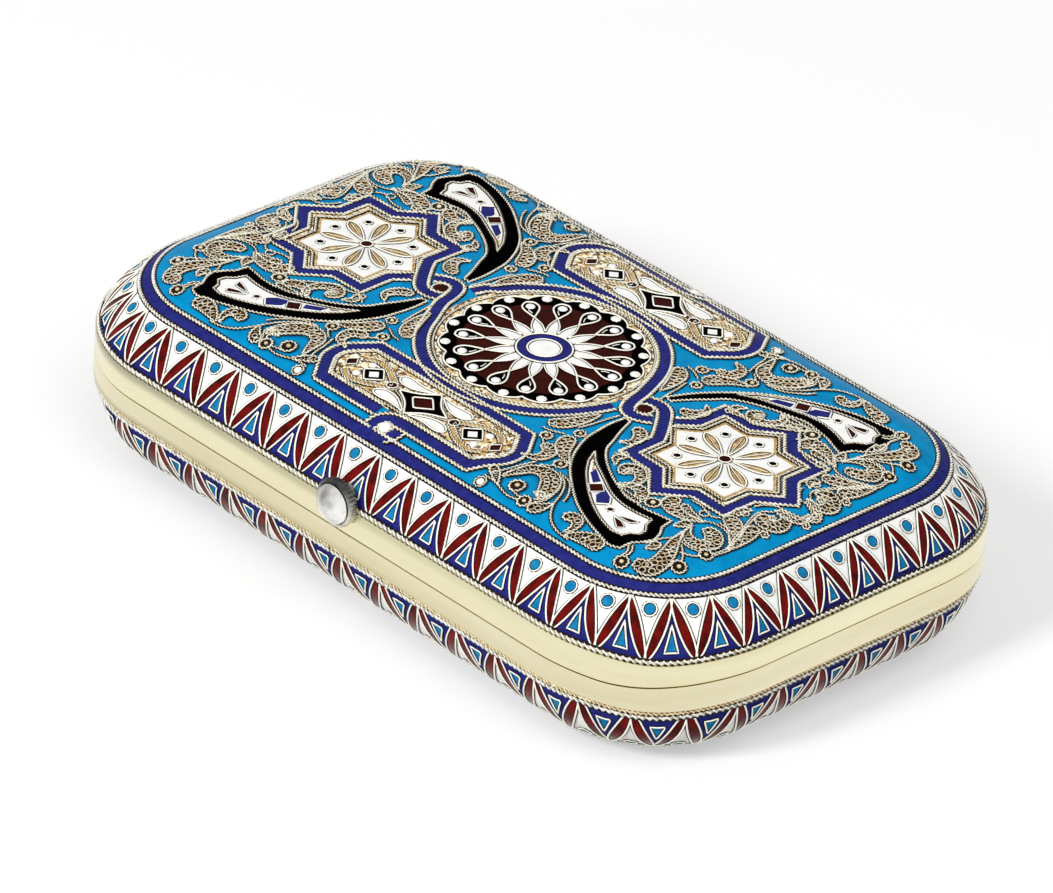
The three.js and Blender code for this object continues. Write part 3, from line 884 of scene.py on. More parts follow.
def lay_cells(name, outlines, finish, face, body, lift=0.05, tiled=True):
    drawing = bmesh.new()
    for outline in outlines:
        corners = [drawing.verts.new((x * MM, y * MM, 0)) for x, y in outline]
        drawing.faces.new(corners)
    drawing.normal_update()
    if tiled:
        bmesh.ops.triangulate(drawing, faces=drawing.faces[:])
        places = np.vstack([np.asarray(outline) for outline in outlines])
        for axis in (0, 1):
            low, high = places[:, axis].min(), places[:, axis].max()
            for cut in np.arange(math.ceil(low / TILE) * TILE, high, TILE):
                spot, direction = [0, 0, 0], [0, 0, 0]
                spot[axis], direction[axis] = cut * MM, 1
                every = drawing.verts[:] + drawing.edges[:] + drawing.faces[:]
                bmesh.ops.bisect_plane(drawing, geom=every, dist=1e-8, plane_co=spot, plane_no=direction)
    bmesh.ops.remove_doubles(drawing, verts=drawing.verts[:], dist=2e-6)
    bmesh.ops.triangulate(drawing, faces=[polygon for polygon in drawing.faces if len(polygon.verts) > 4])
    for polygon in drawing.faces:
        polygon.normal_update()
        if polygon.normal.z * face["way"] < 0:
            polygon.normal_flip()
    lay_on_skin(drawing.verts, face, lift)
    mesh = bpy.data.meshes.new(name)
    drawing.to_mesh(mesh)
    drawing.free()
    piece = piece_of(name, mesh)
    apply_modifier(piece, "SOLIDIFY", thickness=CELL_DEPTH * MM, offset=-1)
    dress(piece, name, finish, body)
    print(name, len(outlines), "cells,", len(piece.data.polygons), "faces")


def between(first, second, closed=False):
    """Quads between two lines with the same number of points."""
    a, b = np.asarray(first), np.asarray(second)
    if closed:
        a, b = np.vstack([a, a[:1]]), np.vstack([b, b[:1]])
    return [np.array([a[i], a[i + 1], b[i + 1], b[i]]) for i in range(len(a) - 1)]


# %% [markdown]
# ## The petal border
# Round each shoulder runs a row of tongues. Two pointed dark red petals spread from each point on
# the upper line to the band, a navy triangle stands between them with a small blue one inside, and
# the white ground left between two pairs makes a tongue with a blue dot. One unit is drawn in
# shares: along the rim in units, and up the shoulder from 0 at the band to 1 at the upper line.

# %% Places round the rim
TOP_INSET = 4.95


def rim_table(long_pitch, short_pitch, per_quarter):
    """Outline places and outward directions against the unit count, from the near side's middle."""
    long_half, short_half = HALF_LENGTH - CORNER, HALF_WIDTH - CORNER
    rows = []
    corner_units = per_quarter - long_half / long_pitch - short_half / short_pitch
    for quarter, (sx, sy) in enumerate(((1, -1), (1, 1), (-1, 1), (-1, -1))):
        along_first = quarter % 2 == 0
        first = (long_half / long_pitch) if along_first else (short_half / short_pitch)
        begin = math.radians(90 * quarter - 90)
        base_count = quarter * per_quarter
        middle = (0, sy * HALF_WIDTH) if along_first else (sx * HALF_LENGTH, 0)
        rows.append((base_count, *middle, math.cos(begin), math.sin(begin)))
        for step in np.linspace(0, 1, 41):
            turn = begin + step * math.pi / 2
            out = (math.cos(turn), math.sin(turn))
            rows.append((base_count + first + step * corner_units,
                         sx * long_half + CORNER * out[0], sy * short_half + CORNER * out[1], *out))
    rows.append((4 * per_quarter, 0, -HALF_WIDTH, 0, -1))
    return np.array(rows)


def rim_place(table, unit, inset):
    """Plan places at unit counts and insets."""
    unit = np.mod(unit, table[-1, 0])
    x, y, out_x, out_y = (np.interp(unit, table[:, 0], table[:, column]) for column in range(1, 5))
    return np.stack([x - out_x * inset, y - out_y * inset], axis=-1)


def shoulder_table(face):
    """Inset against the share of the way up the shoulder, by length along the curve."""
    inset = shoulder_inset(np.linspace(0, 1, 400), face)
    inset = inset[inset < TOP_INSET + 0.02]
    share = np.clip(1 - (inset - FOOT_INSET) / SHOULDER_WIDTH, 0, 1)
    climb = face["height"] * (1 - share ** face["power"]) ** (1 / face["power"])
    length = np.concatenate([[0], np.cumsum(np.hypot(np.diff(inset), np.diff(climb)))])
    return length / length[-1], inset, length[-1]


# %% The border of one pan
PETAL_HALF = 0.115
PETAL_EDGE = 0.026
WIRE_BESIDE = 0.012
TRIANGLE_HALF = 0.14
DOT_SHARE = 0.79
DOT_RADIUS = 0.62


def petal_half(share):
    return PETAL_HALF * (4 * share * (1 - share)) ** 0.85


def petal_border(face, body, table, shift, low, high):
    shares, insets, length = shoulder_table(face)
    place = lambda unit, share: rim_place(table, unit + shift, np.interp(share, shares, insets))
    strands = Strands(face)
    petals, edges, triangles, blues = [], [], [], []
    up_petal = np.linspace(0.025, 0.975, 13)
    up_triangle = np.linspace(0.02, 0.9, 11)
    turn = np.arange(20) * 2 * math.pi / 20
    for unit in range(int(table[-1, 0])):
        for start, way in ((unit, 1), (unit + 1, -1)):
            middle = start + way * 0.5 * up_petal
            half = petal_half(up_petal)
            rails = [place(middle + half * side, up_petal) for side in (-1, -0.4, 0.4, 1)]
            for first, second in zip(rails, rails[1:]):
                edges += between(first, second)
            core = slice(1, -1)
            rails = [place(middle[core] + (half[core] - PETAL_EDGE) * side, up_petal[core])
                     for side in (-1, -0.3, 0.4, 1)]
            for first, second in zip(rails, rails[1:]):
                petals += between(first, second)
            for side in (-1, 1):
                strands.wire(place(middle + (half + WIRE_BESIDE) * side, up_petal))
        inner = 0.5 * up_triangle + petal_half(up_triangle) + WIRE_BESIDE
        across = [unit + inner + (1 - 2 * inner) * part for part in (0, 0.33, 0.67, 1)]
        rails = [place(line, up_triangle) for line in across]
        for first, second in zip(rails, rails[1:]):
            triangles += between(first, second)
        up_blue = np.linspace(low, high, 6)
        lean = TRIANGLE_HALF * (high - up_blue) / (high - low)
        left, right = place(unit + 0.5 - lean, up_blue), place(unit + 0.5 + lean, up_blue)
        blues += between(left, right)
        strands.wire(np.vstack([left, right[::-1][1:]]), closed=True, width=0.24, lift=0.14)
        local = np.linalg.norm(place(unit + 0.1, DOT_SHARE) - place(unit - 0.1, DOT_SHARE)) / 0.2
        dot, dot_wire = (place(unit + radius * np.cos(turn) / local,
                               DOT_SHARE + radius * np.sin(turn) / length)
                         for radius in (DOT_RADIUS, DOT_RADIUS + 0.22))
        blues.append(dot)
        strands.wire(dot_wire, closed=True, width=0.2)
    # Painted shade: dark red rims round the petals, with the red cells laid narrower on top.
    lay_cells(f"{body}_border_petal_edges", edges, DEEP_RED, face, body, tiled=False)
    lay_cells(f"{body}_border_petals", petals, RED, face, body, 0.08, tiled=False)
    lay_cells(f"{body}_border_triangles", triangles, NAVY, face, body, tiled=False)
    lay_cells(f"{body}_border_blue_cells", blues, SKY, face, body, 0.09, tiled=False)
    strands.made(f"{body}_border_wires", ROPE, body, "twisted_wire")


LID_RIM = rim_table(6.3, 5.85, 13)
BASE_RIM = rim_table(6.75, 6.65, 12)
petal_border(LID, "lid", LID_RIM, -0.3 / 6.3, 0.17, 0.56)
petal_border(BASE, "base", BASE_RIM, 1.8 / 6.75, 0.24, 0.52)

# %% [markdown]
# ## Ropes of the border
# A heavy rope hides the joint between pan and band, and two lighter ones hold the navy line.

# %% Border ropes
LINK_HALF_OPEN = 1.95
NEAR_LINK_X = 1.05
FAR_LINK_X = -1.65
LINE_LIFT = 0.01


def rim_line(inset):
    return rim_place(LID_RIM, np.arange(0, LID_RIM[-1, 0], 0.1), inset)


def between_links(inset):
    """The line round the rim at an inset, in the two parts that lie between the open links."""
    near_link = lambda line: (line[:, 1] < 0) & (np.abs(line[:, 0] - NEAR_LINK_X) < LINK_HALF_OPEN)
    line = rim_line(inset)
    line = np.roll(line, -np.flatnonzero(near_link(line))[-1], axis=0)
    far_link = np.flatnonzero((line[:, 1] > 0) & (np.abs(line[:, 0] - FAR_LINK_X) < LINK_HALF_OPEN))
    rest = line[far_link[-1]:]
    return line[:far_link[0]], rest[~near_link(rest)]


def foot_rope(name, finish, body, height, inset, width, stands_for=()):
    """A rope at a height, on the edge of a band."""
    way = 1 if body == "lid" else -1
    rope = Strands({"foot": height, "height": 1e-6, "crown": 0, "way": way, "power": 1.6})
    rope.rope(rim_line(inset), closed=True, width=width, lift=0)
    rope.made(name, finish, body, "twisted_wire", stands_for)


for body, face in (("lid", LID), ("base", BASE)):
    lines = Strands(face)
    lines.rope(rim_line(LINE_OUTER - 0.22), closed=True, lift=LINE_LIFT)
    for part in between_links(LINE_INNER + 0.24):
        lines.rope(part, lift=LINE_LIFT)
    stands_for = [f"{body}_border_wire", f"{body}_field_wire"]
    lines.made(f"{body}_line_ropes", LINE_ROPE, body, "twisted_wire", stands_for)
    if body == "lid":
        foot_rope("lid_foot_rope", FOOT_ROPE, body, LID["foot"] + 0.3, 0.46, 0.8, ["lid_foot_wire"])
    else:
        foot_rope("base_foot_gold_rope", GOLD_ROPE, body, BASE["foot"] - 0.36, 0.36, 0.62)
        foot_rope("base_foot_rope", FOOT_ROPE, body, BASE["foot"] - 0.95, 0.5, 0.8, ["base_foot_wire"])

# %% [markdown]
# ## Grains and pearls
# Tiny balls of gilt silver sit in the filigree's rings, loops of wire fill its leaves, and domed
# drops of white enamel stand in the rosette. Each is a small pattern of a few faces, made once and
# copied to hundreds of places.

# %% Small patterns
def pattern_of(add, **sizes):
    """The corners and triangles of a small primitive."""
    clear_selection()
    add(**sizes)
    shape = bpy.context.object
    corners = np.array([vertex.co.to_tuple() for vertex in shape.data.vertices])
    outlines = [list(polygon.vertices) for polygon in shape.data.polygons]
    bpy.data.objects.remove(shape)
    return corners, np.array([(face[0], face[i], face[i + 1])
                              for face in outlines for i in range(1, len(face) - 1)])


def dome_pattern(sides=16):
    """A dome on a short foot, height and radius 1."""
    rows = [(1.0, -0.5)] + [(math.cos(a), math.sin(a)) for a in np.arange(4) * math.pi / 8]
    turn = np.arange(sides) * 2 * math.pi / sides
    corners = [(r * math.cos(t), r * math.sin(t), h) for r, h in rows for t in turn]
    corners += [(0, 0, 1), (0, 0, -0.5)]
    top, foot = len(corners) - 2, len(corners) - 1
    faces = []
    for level in range(len(rows) - 1):
        for side in range(sides):
            a, b = level * sides + side, level * sides + (side + 1) % sides
            faces += [(a, b, b + sides), (a, b + sides, a + sides)]
    last = (len(rows) - 1) * sides
    for side in range(sides):
        beside = (side + 1) % sides
        faces += [(last + side, last + beside, top), (beside, side, foot)]
    return np.array(corners), np.array(faces)


GRAIN = pattern_of(bpy.ops.mesh.primitive_ico_sphere_add, subdivisions=1, radius=1)
RING = pattern_of(bpy.ops.mesh.primitive_torus_add, major_segments=9, minor_segments=4,
                  major_radius=0.84, minor_radius=0.17)
PEARL = dome_pattern()
print("faces of grain, ring and pearl:", [len(pattern[1]) for pattern in (GRAIN, RING, PEARL)])

# %% Copies of a pattern on the surface
SCATTER_LIFT = 0.1


def scatter(name, pattern, places, face, finish, body, flat):
    """Copies of a small pattern on the surface: places hold x, y and radius."""
    corners, faces = pattern
    places = np.asarray(places, float)
    low = skin(face, places[:, 0], places[:, 1])
    normal = skin(face, places[:, 0], places[:, 1], 1.0) - low
    east = np.cross(normal, (0.0, 1.0, 0.0))
    east /= np.linalg.norm(east, axis=1, keepdims=True)
    north = np.cross(normal, east)
    size = places[:, 2][:, None, None]
    spread_out = (corners[None, :, :1] * east[:, None] + corners[None, :, 1:2] * north[:, None]
                  + corners[None, :, 2:] * normal[:, None] * flat)
    points = (low + normal * SCATTER_LIFT)[:, None] + spread_out * size
    every = faces[None] + (np.arange(len(places)) * len(corners))[:, None, None]
    mesh = bpy.data.meshes.new(name)
    mesh.from_pydata((points.reshape(-1, 3) * MM).tolist(), [], every.reshape(-1, 3).tolist())
    piece = piece_of(name, mesh)
    open_whole(piece)
    close_outward()
    dress(piece, name, finish, body, (), 60)
    print(name, len(places), "of", len(faces), "faces")


# %% [markdown]
# ## One motif at a time
# A motif gathers its cells by colour and its wires, so that a few calls draw it, and at the end each
# colour becomes one piece. Ribbons are navy straps with a rope on either side.

# %% Gathering a motif
LIFTS = {"granules": 0.03, "strap": 0.05, "ground": 0.06, "cell": 0.09, "inner": 0.13, "top": 0.17}
RIBBON_WIDTH = 1.36
ROPE_BESIDE = 0.2
PEARL_FLATNESS = 0.45


class Motif:
    def __init__(self, name, face, body):
        self.name, self.face, self.body = name, face, body
        self.ropes, self.wires = Strands(face), Strands(face)
        self.cells, self.pearls, self.grains, self.loops = {}, [], [], []

    def fill(self, finish, outline, layer="cell"):
        self.cells.setdefault((finish.name, layer), []).append(np.asarray(outline, float))

    def strip(self, finish, first, second, closed=False, layer="cell"):
        self.cells.setdefault((finish.name, layer), []).extend(between(first, second, closed))

    def wired(self, finish, outline, wire_line, layer, width, lift=0.1):
        """A cell and the closed wire round it."""
        self.fill(finish, outline, layer)
        self.wires.wire(wire_line, True, width, lift)

    def ribbon(self, line):
        left, right = (offset_line(line, side * RIBBON_WIDTH / 2) for side in (1, -1))
        self.strip(NAVY, left, right, layer="strap")
        for side in (1, -1):
            self.ropes.rope(offset_line(line, side * (RIBBON_WIDTH / 2 + ROPE_BESIDE)))

    def finish(self):
        start = f"{self.body}_{self.name}_"
        for (tone, layer), outlines in self.cells.items():
            name = start + tone.replace("_enamel", "") + "_" + layer
            finish = bpy.data.materials[tone]
            lay_cells(name, outlines, finish, self.face, self.body, LIFTS[layer])
        for name, strands in (("ropes", self.ropes), ("wires", self.wires)):
            if strands.count:
                strands.made(start + name, ROPE, self.body, "twisted_wire")
        small = (("pearls", PEARL, self.pearls, WHITE, "enamel_field", PEARL_FLATNESS),
                 ("loops", RING, self.loops, LOOP_GILT, "gilt", 1),
                 ("grains", GRAIN, self.grains, GRAIN_GILT, "gilt", 1))
        for name, pattern, places, finish, slot, flat in small:
            if places:
                scatter(start + name, pattern, places, self.face, finish, self.body, flat)


# %% [markdown]
# ## The rosette
# The middle of the lid is a wheel of sixteen white petals round a navy ring. A wire runs from each
# petal's point into a black loop with a pearl, and pearls fill the black rim between the loops.

# %% The rosette's lines
SPOKES = 16
HUB = 2.0
HUB_RING = (2.1, 3.4)
HUB_WIRES = ((2.12, 0.24), (3.5, 0.26))
RED_GROUND = (3.3, 11.4)
BLACK_RIM = (10.2, 12.05)
SCRAP_RING = (11.9, 14.4)
ROPE_RING = 13.6
LOOP_PEARL = (10.15, 0.62)
RIM_PEARL = (12.1, 0.5)
PETAL = [(3.75, 0.6), (4.6, 0.76), (5.6, 0.68), (6.6, 0.34), (7.4, 0.03)]
LOOP = [(7.4, 0.05), (8.1, 0.4), (9.0, 0.86), (9.9, 1.08), (10.7, 0.84), (11.15, 0.36)]
print(SPOKES, "petals")


def spindle(profile):
    """An outline symmetric about the x axis from distance and half width pairs."""
    upper = smooth_line(profile, steps=4)
    return np.vstack([upper, upper[::-1] * (1, -1)])


# %% The rosette
def rosette(face, body, x, y):
    motif = Motif("rosette", face, body)
    motif.fill(WHITE, circle_line(x, y, HUB, 32))
    motif.strip(NAVY, *(circle_line(x, y, radius, 64) for radius in HUB_RING), True)
    for radius, width in HUB_WIRES:
        motif.wires.wire(circle_line(x, y, radius), True, width, 0.14)
    turn = np.arange(192) * 2 * math.pi / 192
    lobes = np.abs(np.cos(SPOKES / 2 * turn)) ** 0.8
    ring = lambda radius: np.stack([x + radius * np.cos(turn), y + radius * np.sin(turn)], axis=1)
    rim = ring(BLACK_RIM[1] + 0.9 * lobes)
    motif.strip(BLACK, ring(BLACK_RIM[0]), rim, True, "ground")
    motif.strip(BROWN_RED, ring(RED_GROUND[0]), ring(RED_GROUND[1] - 0.75 * lobes), True, "cell")
    motif.strip(SCRAP, *map(ring, SCRAP_RING), True, "granules")
    motif.wires.wire(rim, True, 0.26)
    motif.ropes.rope(circle_line(x, y, ROPE_RING), True, 0.36)
    spoke_wire = smooth_line([(4.0, 0.72)] + PETAL[1:], steps=4)
    loop_wire = spindle([(8.4, 0.05), (9.0, 0.34), (9.4, 0.4)])
    loop_wire = loop_wire[:len(loop_wire) // 2]
    for spoke in range(SPOKES):
        angle = 360 / SPOKES * (spoke + 0.5)
        loop = turned_about(spindle(LOOP), x, y, angle)
        motif.fill(WHITE, turned_about(spindle(PETAL), x, y, angle), "inner")
        motif.fill(BLACK, loop, "inner")
        for mirror in (1, -1):
            motif.wires.wire(turned_about(spoke_wire, x, y, angle, mirror), width=0.2, lift=0.16)
        motif.wires.wire(loop, True, 0.26, 0.18)
        for (radius, size), degrees in ((LOOP_PEARL, angle), (RIM_PEARL, angle + 180 / SPOKES)):
            centre, = turned_about([(radius, 0)], x, y, degrees)
            motif.pearls.append((*centre, size))
        motif.wires.wire(circle_line(*centre, 0.6, 16), True, 0.18, 0.12)
        motif.wires.wire(turned_about(loop_wire, x, y, angle), width=0.14, lift=0.18)
    motif.finish()


FACES = (("lid", LID), ("base", BASE))
for body, face in FACES:
    rosette(face, body, 0.1, 0.2)

# %% [markdown]
# ## The straps
# One strap circles the rosette, slips round a red eye on either side and goes on as an eight-pointed
# star. Two more straps frame the long panels and hook into the navy line of the border. Where one
# passes under another its line simply stops at the other's rope.

# %% Circle, knots and stars
STAR_CENTRE = (31.9, -0.1)
STAR_REACH = 11.4
TURN_CENTRE = (-0.3, 0.2)
CIRCLE_RADIUS = 14.9


def half_turned(points):
    return 2 * np.asarray(TURN_CENTRE) - np.asarray(points, float)


def star_points(x, y, reach, first=0):
    """Corners of an eight-pointed star of two squares, tips at even numbers."""
    notch = reach / math.sqrt(2) / math.cos(math.pi / 8)
    corners = []
    for index in range(first, 16):
        radius = reach if index % 2 == 0 else notch
        turn = math.pi + index * math.pi / 8
        corners.append((x + radius * math.cos(turn), y - radius * math.sin(turn)))
    return corners


UNDER_EYE = [(20.1, -0.75), (19.2, -1.5), (17.95, -1.95), (16.75, -1.65), (15.95, -0.6), (15.4, 1.0),
             (14.95, 2.8)]
OVER_EYE = [(22.8, -1.9), (21.7, -0.5), (20.5, 0.95), (19.5, 1.85), (18.5, 2.25), (17.5, 2.2), (16.6, 1.85)]

STOP = [(14.3, -4.4), (14.95, -2.4)]
EYE = (17.75, 0.2)


def straps(face, body):
    motif = Motif("straps", face, body)
    arc = [(CIRCLE_RADIUS * math.cos(a), 0.15 + CIRCLE_RADIUS * math.sin(a))
           for a in np.radians(np.arange(24, 158, 6))]
    lower_arc = [(-x, 0.3 - y) for x, y in arc]
    upper = np.vstack([UNDER_EYE, arc, half_turned(STOP)])
    lower = np.vstack([half_turned(UNDER_EYE), lower_arc, STOP])
    motif.ribbon(smooth_line(upper, steps=3))
    motif.ribbon(smooth_line(lower, steps=3))
    star = [(22.15, 1.2)] + star_points(*STAR_CENTRE, STAR_REACH, 1)
    star += list(smooth_line(OVER_EYE, steps=3))
    motif.ribbon(star)
    motif.ribbon(half_turned(star))
    for eye in (EYE, half_turned(EYE)):
        motif.fill(BROWN_RED, circle_line(*eye, 0.95, 24))
        motif.ropes.rope(circle_line(*eye, 1.15, 32), True, 0.42)
    motif.finish()


for body, face in FACES:
    straps(face, body)

# %% [markdown]
# ## The long panels
# A panel has squared ends that swell to a point. On a ground of gilt scrap lie a black lozenge with a
# red heart, four white leaves, four sweeps of ochre between ropes, and small lozenges and dots along
# the middle.

# %% The lines of a panel
PANEL_END = [(12.65, 4.75), (14.0, 2.9), (14.95, 1.5), (15.25, 0.0), (14.95, -1.5), (14.0, -2.9),
             (12.65, -4.75)]
PANEL_LEAF = [(6.25, 2.25), (5.7, 1.485), (4.6, 1.17), (3.2, 1.35), (1.8, 2.07), (0.5, 2.97), (1.7, 2.835),
              (3.1, 2.745), (4.6, 2.925), (5.8, 2.79)]
LINK = [(2.6, -4.7), (0.5, -4.85), (-0.6, -5.4), (-1.25, -6.1), (-1.45, -7.0)]
PANEL_SWEEP = [(5.2, 0.35), (6.8, 1.3), (8.4, 2.2), (10.6, 2.6), (12.2, 1.7)]
PANEL_ARM = [(0.3, 3.1), (2.4, 1.2), (4.6, 0.3)]
HOOK = [(-2.6, -7.95), (-0.9, -7.85), (0.6, -7.5), (1.7, -6.9), (2.25, -6.3), (2.4, -5.6)]
HOOK_EYE = (0.4, -6.3)
PANEL_PEARL = (10.4, 1.35)
PANEL_DOT_X = 5.5
PANEL_LOZENGE_X = 8.75
PANEL_TIP_X = 12.7
LOZENGE_DIP = 0.35
PANEL_LONGER = 0.8
PANEL_SHIFT = (0.5, -0.3)


def lozenge(x, y, half_long, half_wide):
    return [(x + half_long, y), (x, y + half_wide), (x - half_long, y), (x, y - half_wide)]


def hollow_lozenge(half_long, half_wide):
    """A lozenge whose four sides curve inward."""
    side = (half_long / 2 - 0.6 * LOZENGE_DIP, half_wide / 2 - LOZENGE_DIP)
    quarter = smooth_line([(half_long, 0), side, (0, half_wide)], steps=5)
    half = np.vstack([quarter, quarter[-2::-1] * (-1, 1)])
    return np.vstack([half, half[-2:0:-1] * (1, -1)])


# %% Parts of a panel
def panel_quarter(motif, put, sx, sy):
    """The leaf, the sweep of ochre between ropes and the pearl in one quarter of a panel."""
    leaf = put(smooth_line(np.asarray(PANEL_LEAF) * (sx, sy), True, 4))
    motif.wired(WHITE, leaf, leaf, "cell", 0.24)
    sweep = smooth_line(np.asarray(PANEL_SWEEP) * (sx, sy), steps=4)
    motif.strip(OCHRE, put(offset_line(sweep, 0.22)), put(offset_line(sweep, -0.22)), layer="ground")
    for side in (1, -1):
        motif.ropes.rope(put(offset_line(sweep, 0.38 * side)), False, 0.42)
    motif.ropes.rope(put(smooth_line(np.asarray(PANEL_ARM) * (sx, sy))), False, 0.3)
    motif.pearls.append((*put((PANEL_PEARL[0] * sx, PANEL_PEARL[1] * sy)), 0.5))


def panel_hook(motif, put):
    """The end of a panel's strap, which hooks round a pearl into the border's navy line."""
    hook = smooth_line(HOOK, steps=3)
    motif.strip(NAVY, put(offset_line(hook, 0.68)), put(offset_line(hook, -0.68)), layer="strap")
    motif.ropes.rope(put(offset_line(hook, 0.88)[hook[:, 0] > -0.8]), False, 0.5)
    motif.ropes.rope(put(offset_line(hook, -0.88)[hook[:, 0] > 1.2]), False, 0.5)
    motif.pearls.append((*put(HOOK_EYE), 0.75))
    motif.ropes.rope(put(circle_line(*HOOK_EYE, 0.85, 24)), True, 0.34)


# %% The two panels
def panel(face, body, x, y, way):
    """One panel; way is 1 for the near one and -1 for the far one, turned half round."""
    motif = Motif("panel_near" if way > 0 else "panel_far", face, body)
    put = lambda points: np.asarray(points, float) * way + (x, y)
    inner_put = lambda points: put(points) + PANEL_SHIFT
    right = np.vstack([PANEL_END[:1], smooth_line(PANEL_END[1:-1], steps=3), PANEL_END[-1:]])
    left = right[::-1] * (-1, 1)
    right = right + (PANEL_LONGER, 0)
    motif.ribbon(put(np.vstack([[(-2.55, -4.75)], left, right, smooth_line(LINK, steps=3)])))
    outline = np.vstack([right, left])
    inside = offset_line(outline, -0.7, True)
    motif.strip(SCRAP, put(inside), put(inside * 0.02), True, "granules")
    motif.ropes.rope(put(offset_line(outline, -1.15, True)), True, 0.4)
    heart = inner_put(lozenge(0, 0, 1.85, 1.6))
    motif.fill(BLACK, inner_put(hollow_lozenge(4.2, 3.1)), "cell")
    motif.wired(BROWN_RED, heart, heart, "inner", 0.24, 0.2)
    motif.wires.wire(inner_put(hollow_lozenge(4.25, 3.15)), True, 0.26)
    for sx in (1, -1):
        for sy in (1, -1):
            panel_quarter(motif, inner_put, sx, sy)
        black, white, black_wire = (inner_put(lozenge(PANEL_LOZENGE_X * sx, 0, *half))
                                    for half in ((1.65, 1.6), (0.82, 0.82), (1.75, 1.7)))
        motif.wired(BLACK, black, black_wire, "cell", 0.22)
        motif.fill(WHITE, white, "inner")
        dot = [circle_line(PANEL_DOT_X * sx, 0, radius, 20) for radius in (0.62, 0.7)]
        tip = [lozenge(PANEL_TIP_X * sx, 0, *half) for half in ((0.75, 1.0), (0.82, 1.1))]
        for cell in (dot, tip):
            motif.wired(BROWN_RED, *map(inner_put, cell), "inner", 0.16, 0.14)
    panel_hook(motif, put)
    motif.finish()


for body, face in FACES:
    panel(face, body, 0.1, -20.05, 1)
    panel(face, body, -0.1, 20.35, -1)

# %% [markdown]
# ## The star fields
# Each star holds a white flower with eight pointed petals, parted by gold lens cells, with a dark dot
# near each point and a red heart.

# %% The two star fields
STAR_DOT = 5.75
STAR_LENS = [(1.0, 0.05), (2.3, 0.42), (4.0, 0.74), (5.4, 0.6), (6.3, 0.05)]


def star_field(face, body, x, y, side):
    motif = Motif(f"star_{side}", face, body)
    centre = np.array([[x, y]])
    for finish, reach, layer in ((SCRAP, 10.3, "granules"), (WHITE, 8.25, "ground")):
        outline = np.array(star_points(x, y, reach))
        motif.strip(finish, outline, outline * 0.02 + centre * 0.98, True, layer)
    motif.strip(OCHRE, star_points(x, y, 8.6), star_points(x, y, 8.3), True, "ground")
    motif.ropes.rope(star_points(x, y, 9.2), True, 0.4, 0.1)
    for index in range(8):
        angle = 45 * index + 22.5
        lens = turned_about(spindle(STAR_LENS), x, y, angle)
        motif.wired(OCHRE, lens, lens, "inner", 0.24, 0.16)
        motif.wires.wire(turned_about([(1.6, 0), (5.6, 0)], x, y, angle), width=0.14, lift=0.17)
        dot, = turned_about([(STAR_DOT, 0)], x, y, 45 * index)
        motif.wired(BLACK, circle_line(*dot, 0.45, 18), circle_line(*dot, 0.55, 18), "inner", 0.18, 0.14)
    motif.wired(BROWN_RED, circle_line(x, y, 0.7, 24), circle_line(x, y, 0.8, 24), "top", 0.2, 0.2)
    motif.finish()


for body, face in FACES:
    star_field(face, body, *STAR_CENTRE, "right")
    star_field(face, body, -32.1, 0.3, "left")

# %% [markdown]
# ## The black horns
# Four curved horns sweep from the knots to the corners. Each is black with a scalloped head and a
# pale panel that holds a navy chevron, a red square and a small red tulip. The maker drew them by
# hand, so no two lie quite alike: each gets its own small turn and shift.

# %% The lines of a horn
HORN_BACK = [(38.1, -23.4), (36.9, -23.8), (35.5, -23.5), (33.2, -22.9), (30.8, -22.0), (28.9, -21.1),
             (27.1, -20.0), (24.4, -18.0), (22.1, -16.0), (20.5, -14.0), (19.4, -12.0), (18.6, -10.0),
             (18.25, -8.0), (18.0, -5.6), (18.1, -3.4)]
SLIM_BACK = [(38.1, -23.3), (36.4, -23.5), (34.5, -22.9), (32.0, -22.0), (29.5, -20.6), (27.0, -18.7),
             (24.5, -16.4), (22.2, -13.6), (20.3, -10.2), (18.9, -6.8), (18.1, -3.5)]
HORN_BELLY = [(18.7, -3.4), (19.5, -5.6), (20.6, -8.0), (21.5, -10.0), (23.6, -12.0), (26.9, -14.0),
              (30.5, -15.4), (34.0, -15.6), (36.0, -15.25), (37.7, -14.95)]
HORN_HEAD = [(37.95, -16.6), (38.9, -17.9), (39.4, -19.2), (38.9, -20.6), (38.2, -21.7)]
HORN_PANEL_UP = [(21.3, -11.5), (23.0, -13.0), (25.0, -14.1), (27.2, -15.3), (29.2, -16.3), (31.5, -16.9),
                 (34.0, -16.9), (36.3, -16.5)]
HORN_PANEL_HEAD = [(36.7, -17.8), (37.6, -18.8), (37.7, -19.8), (36.8, -20.6), (36.5, -21.6)]
HORN_PANEL_DOWN = [(35.2, -21.9), (33.0, -21.3), (30.5, -20.2), (28.2, -18.8), (26.2, -17.3),
                   (24.0, -15.4), (22.3, -13.4)]
HORN_SCRAP = [(21.5, -11.9), (23.9, -14.0), (24.4, -14.9), (22.4, -13.0)]
CHEVRON_FIRST = [(24.1, -14.0), (26.5, -15.5), (26.1, -16.4), (24.3, -15.1)]
CHEVRON_SECOND = [(28.2, -16.3), (29.9, -17.1), (30.8, -18.2), (29.7, -19.3), (28.3, -18.0)]
CHEVRON_WIRE = [(29.9, -17.1), (30.9, -18.2), (29.7, -19.4)]
TULIPS = ([(32.9, -19.2), (34.4, -18.5), (35.9, -18.0), (35.3, -19.1)],
          [(33.0, -19.6), (34.3, -19.6), (35.6, -20.2), (35.0, -21.0)])
HORN_SQUARE = (27.2, -16.9)
HORN_DOT = (31.7, -18.9)
HORN_MIDDLE = (27.0, -17.0)
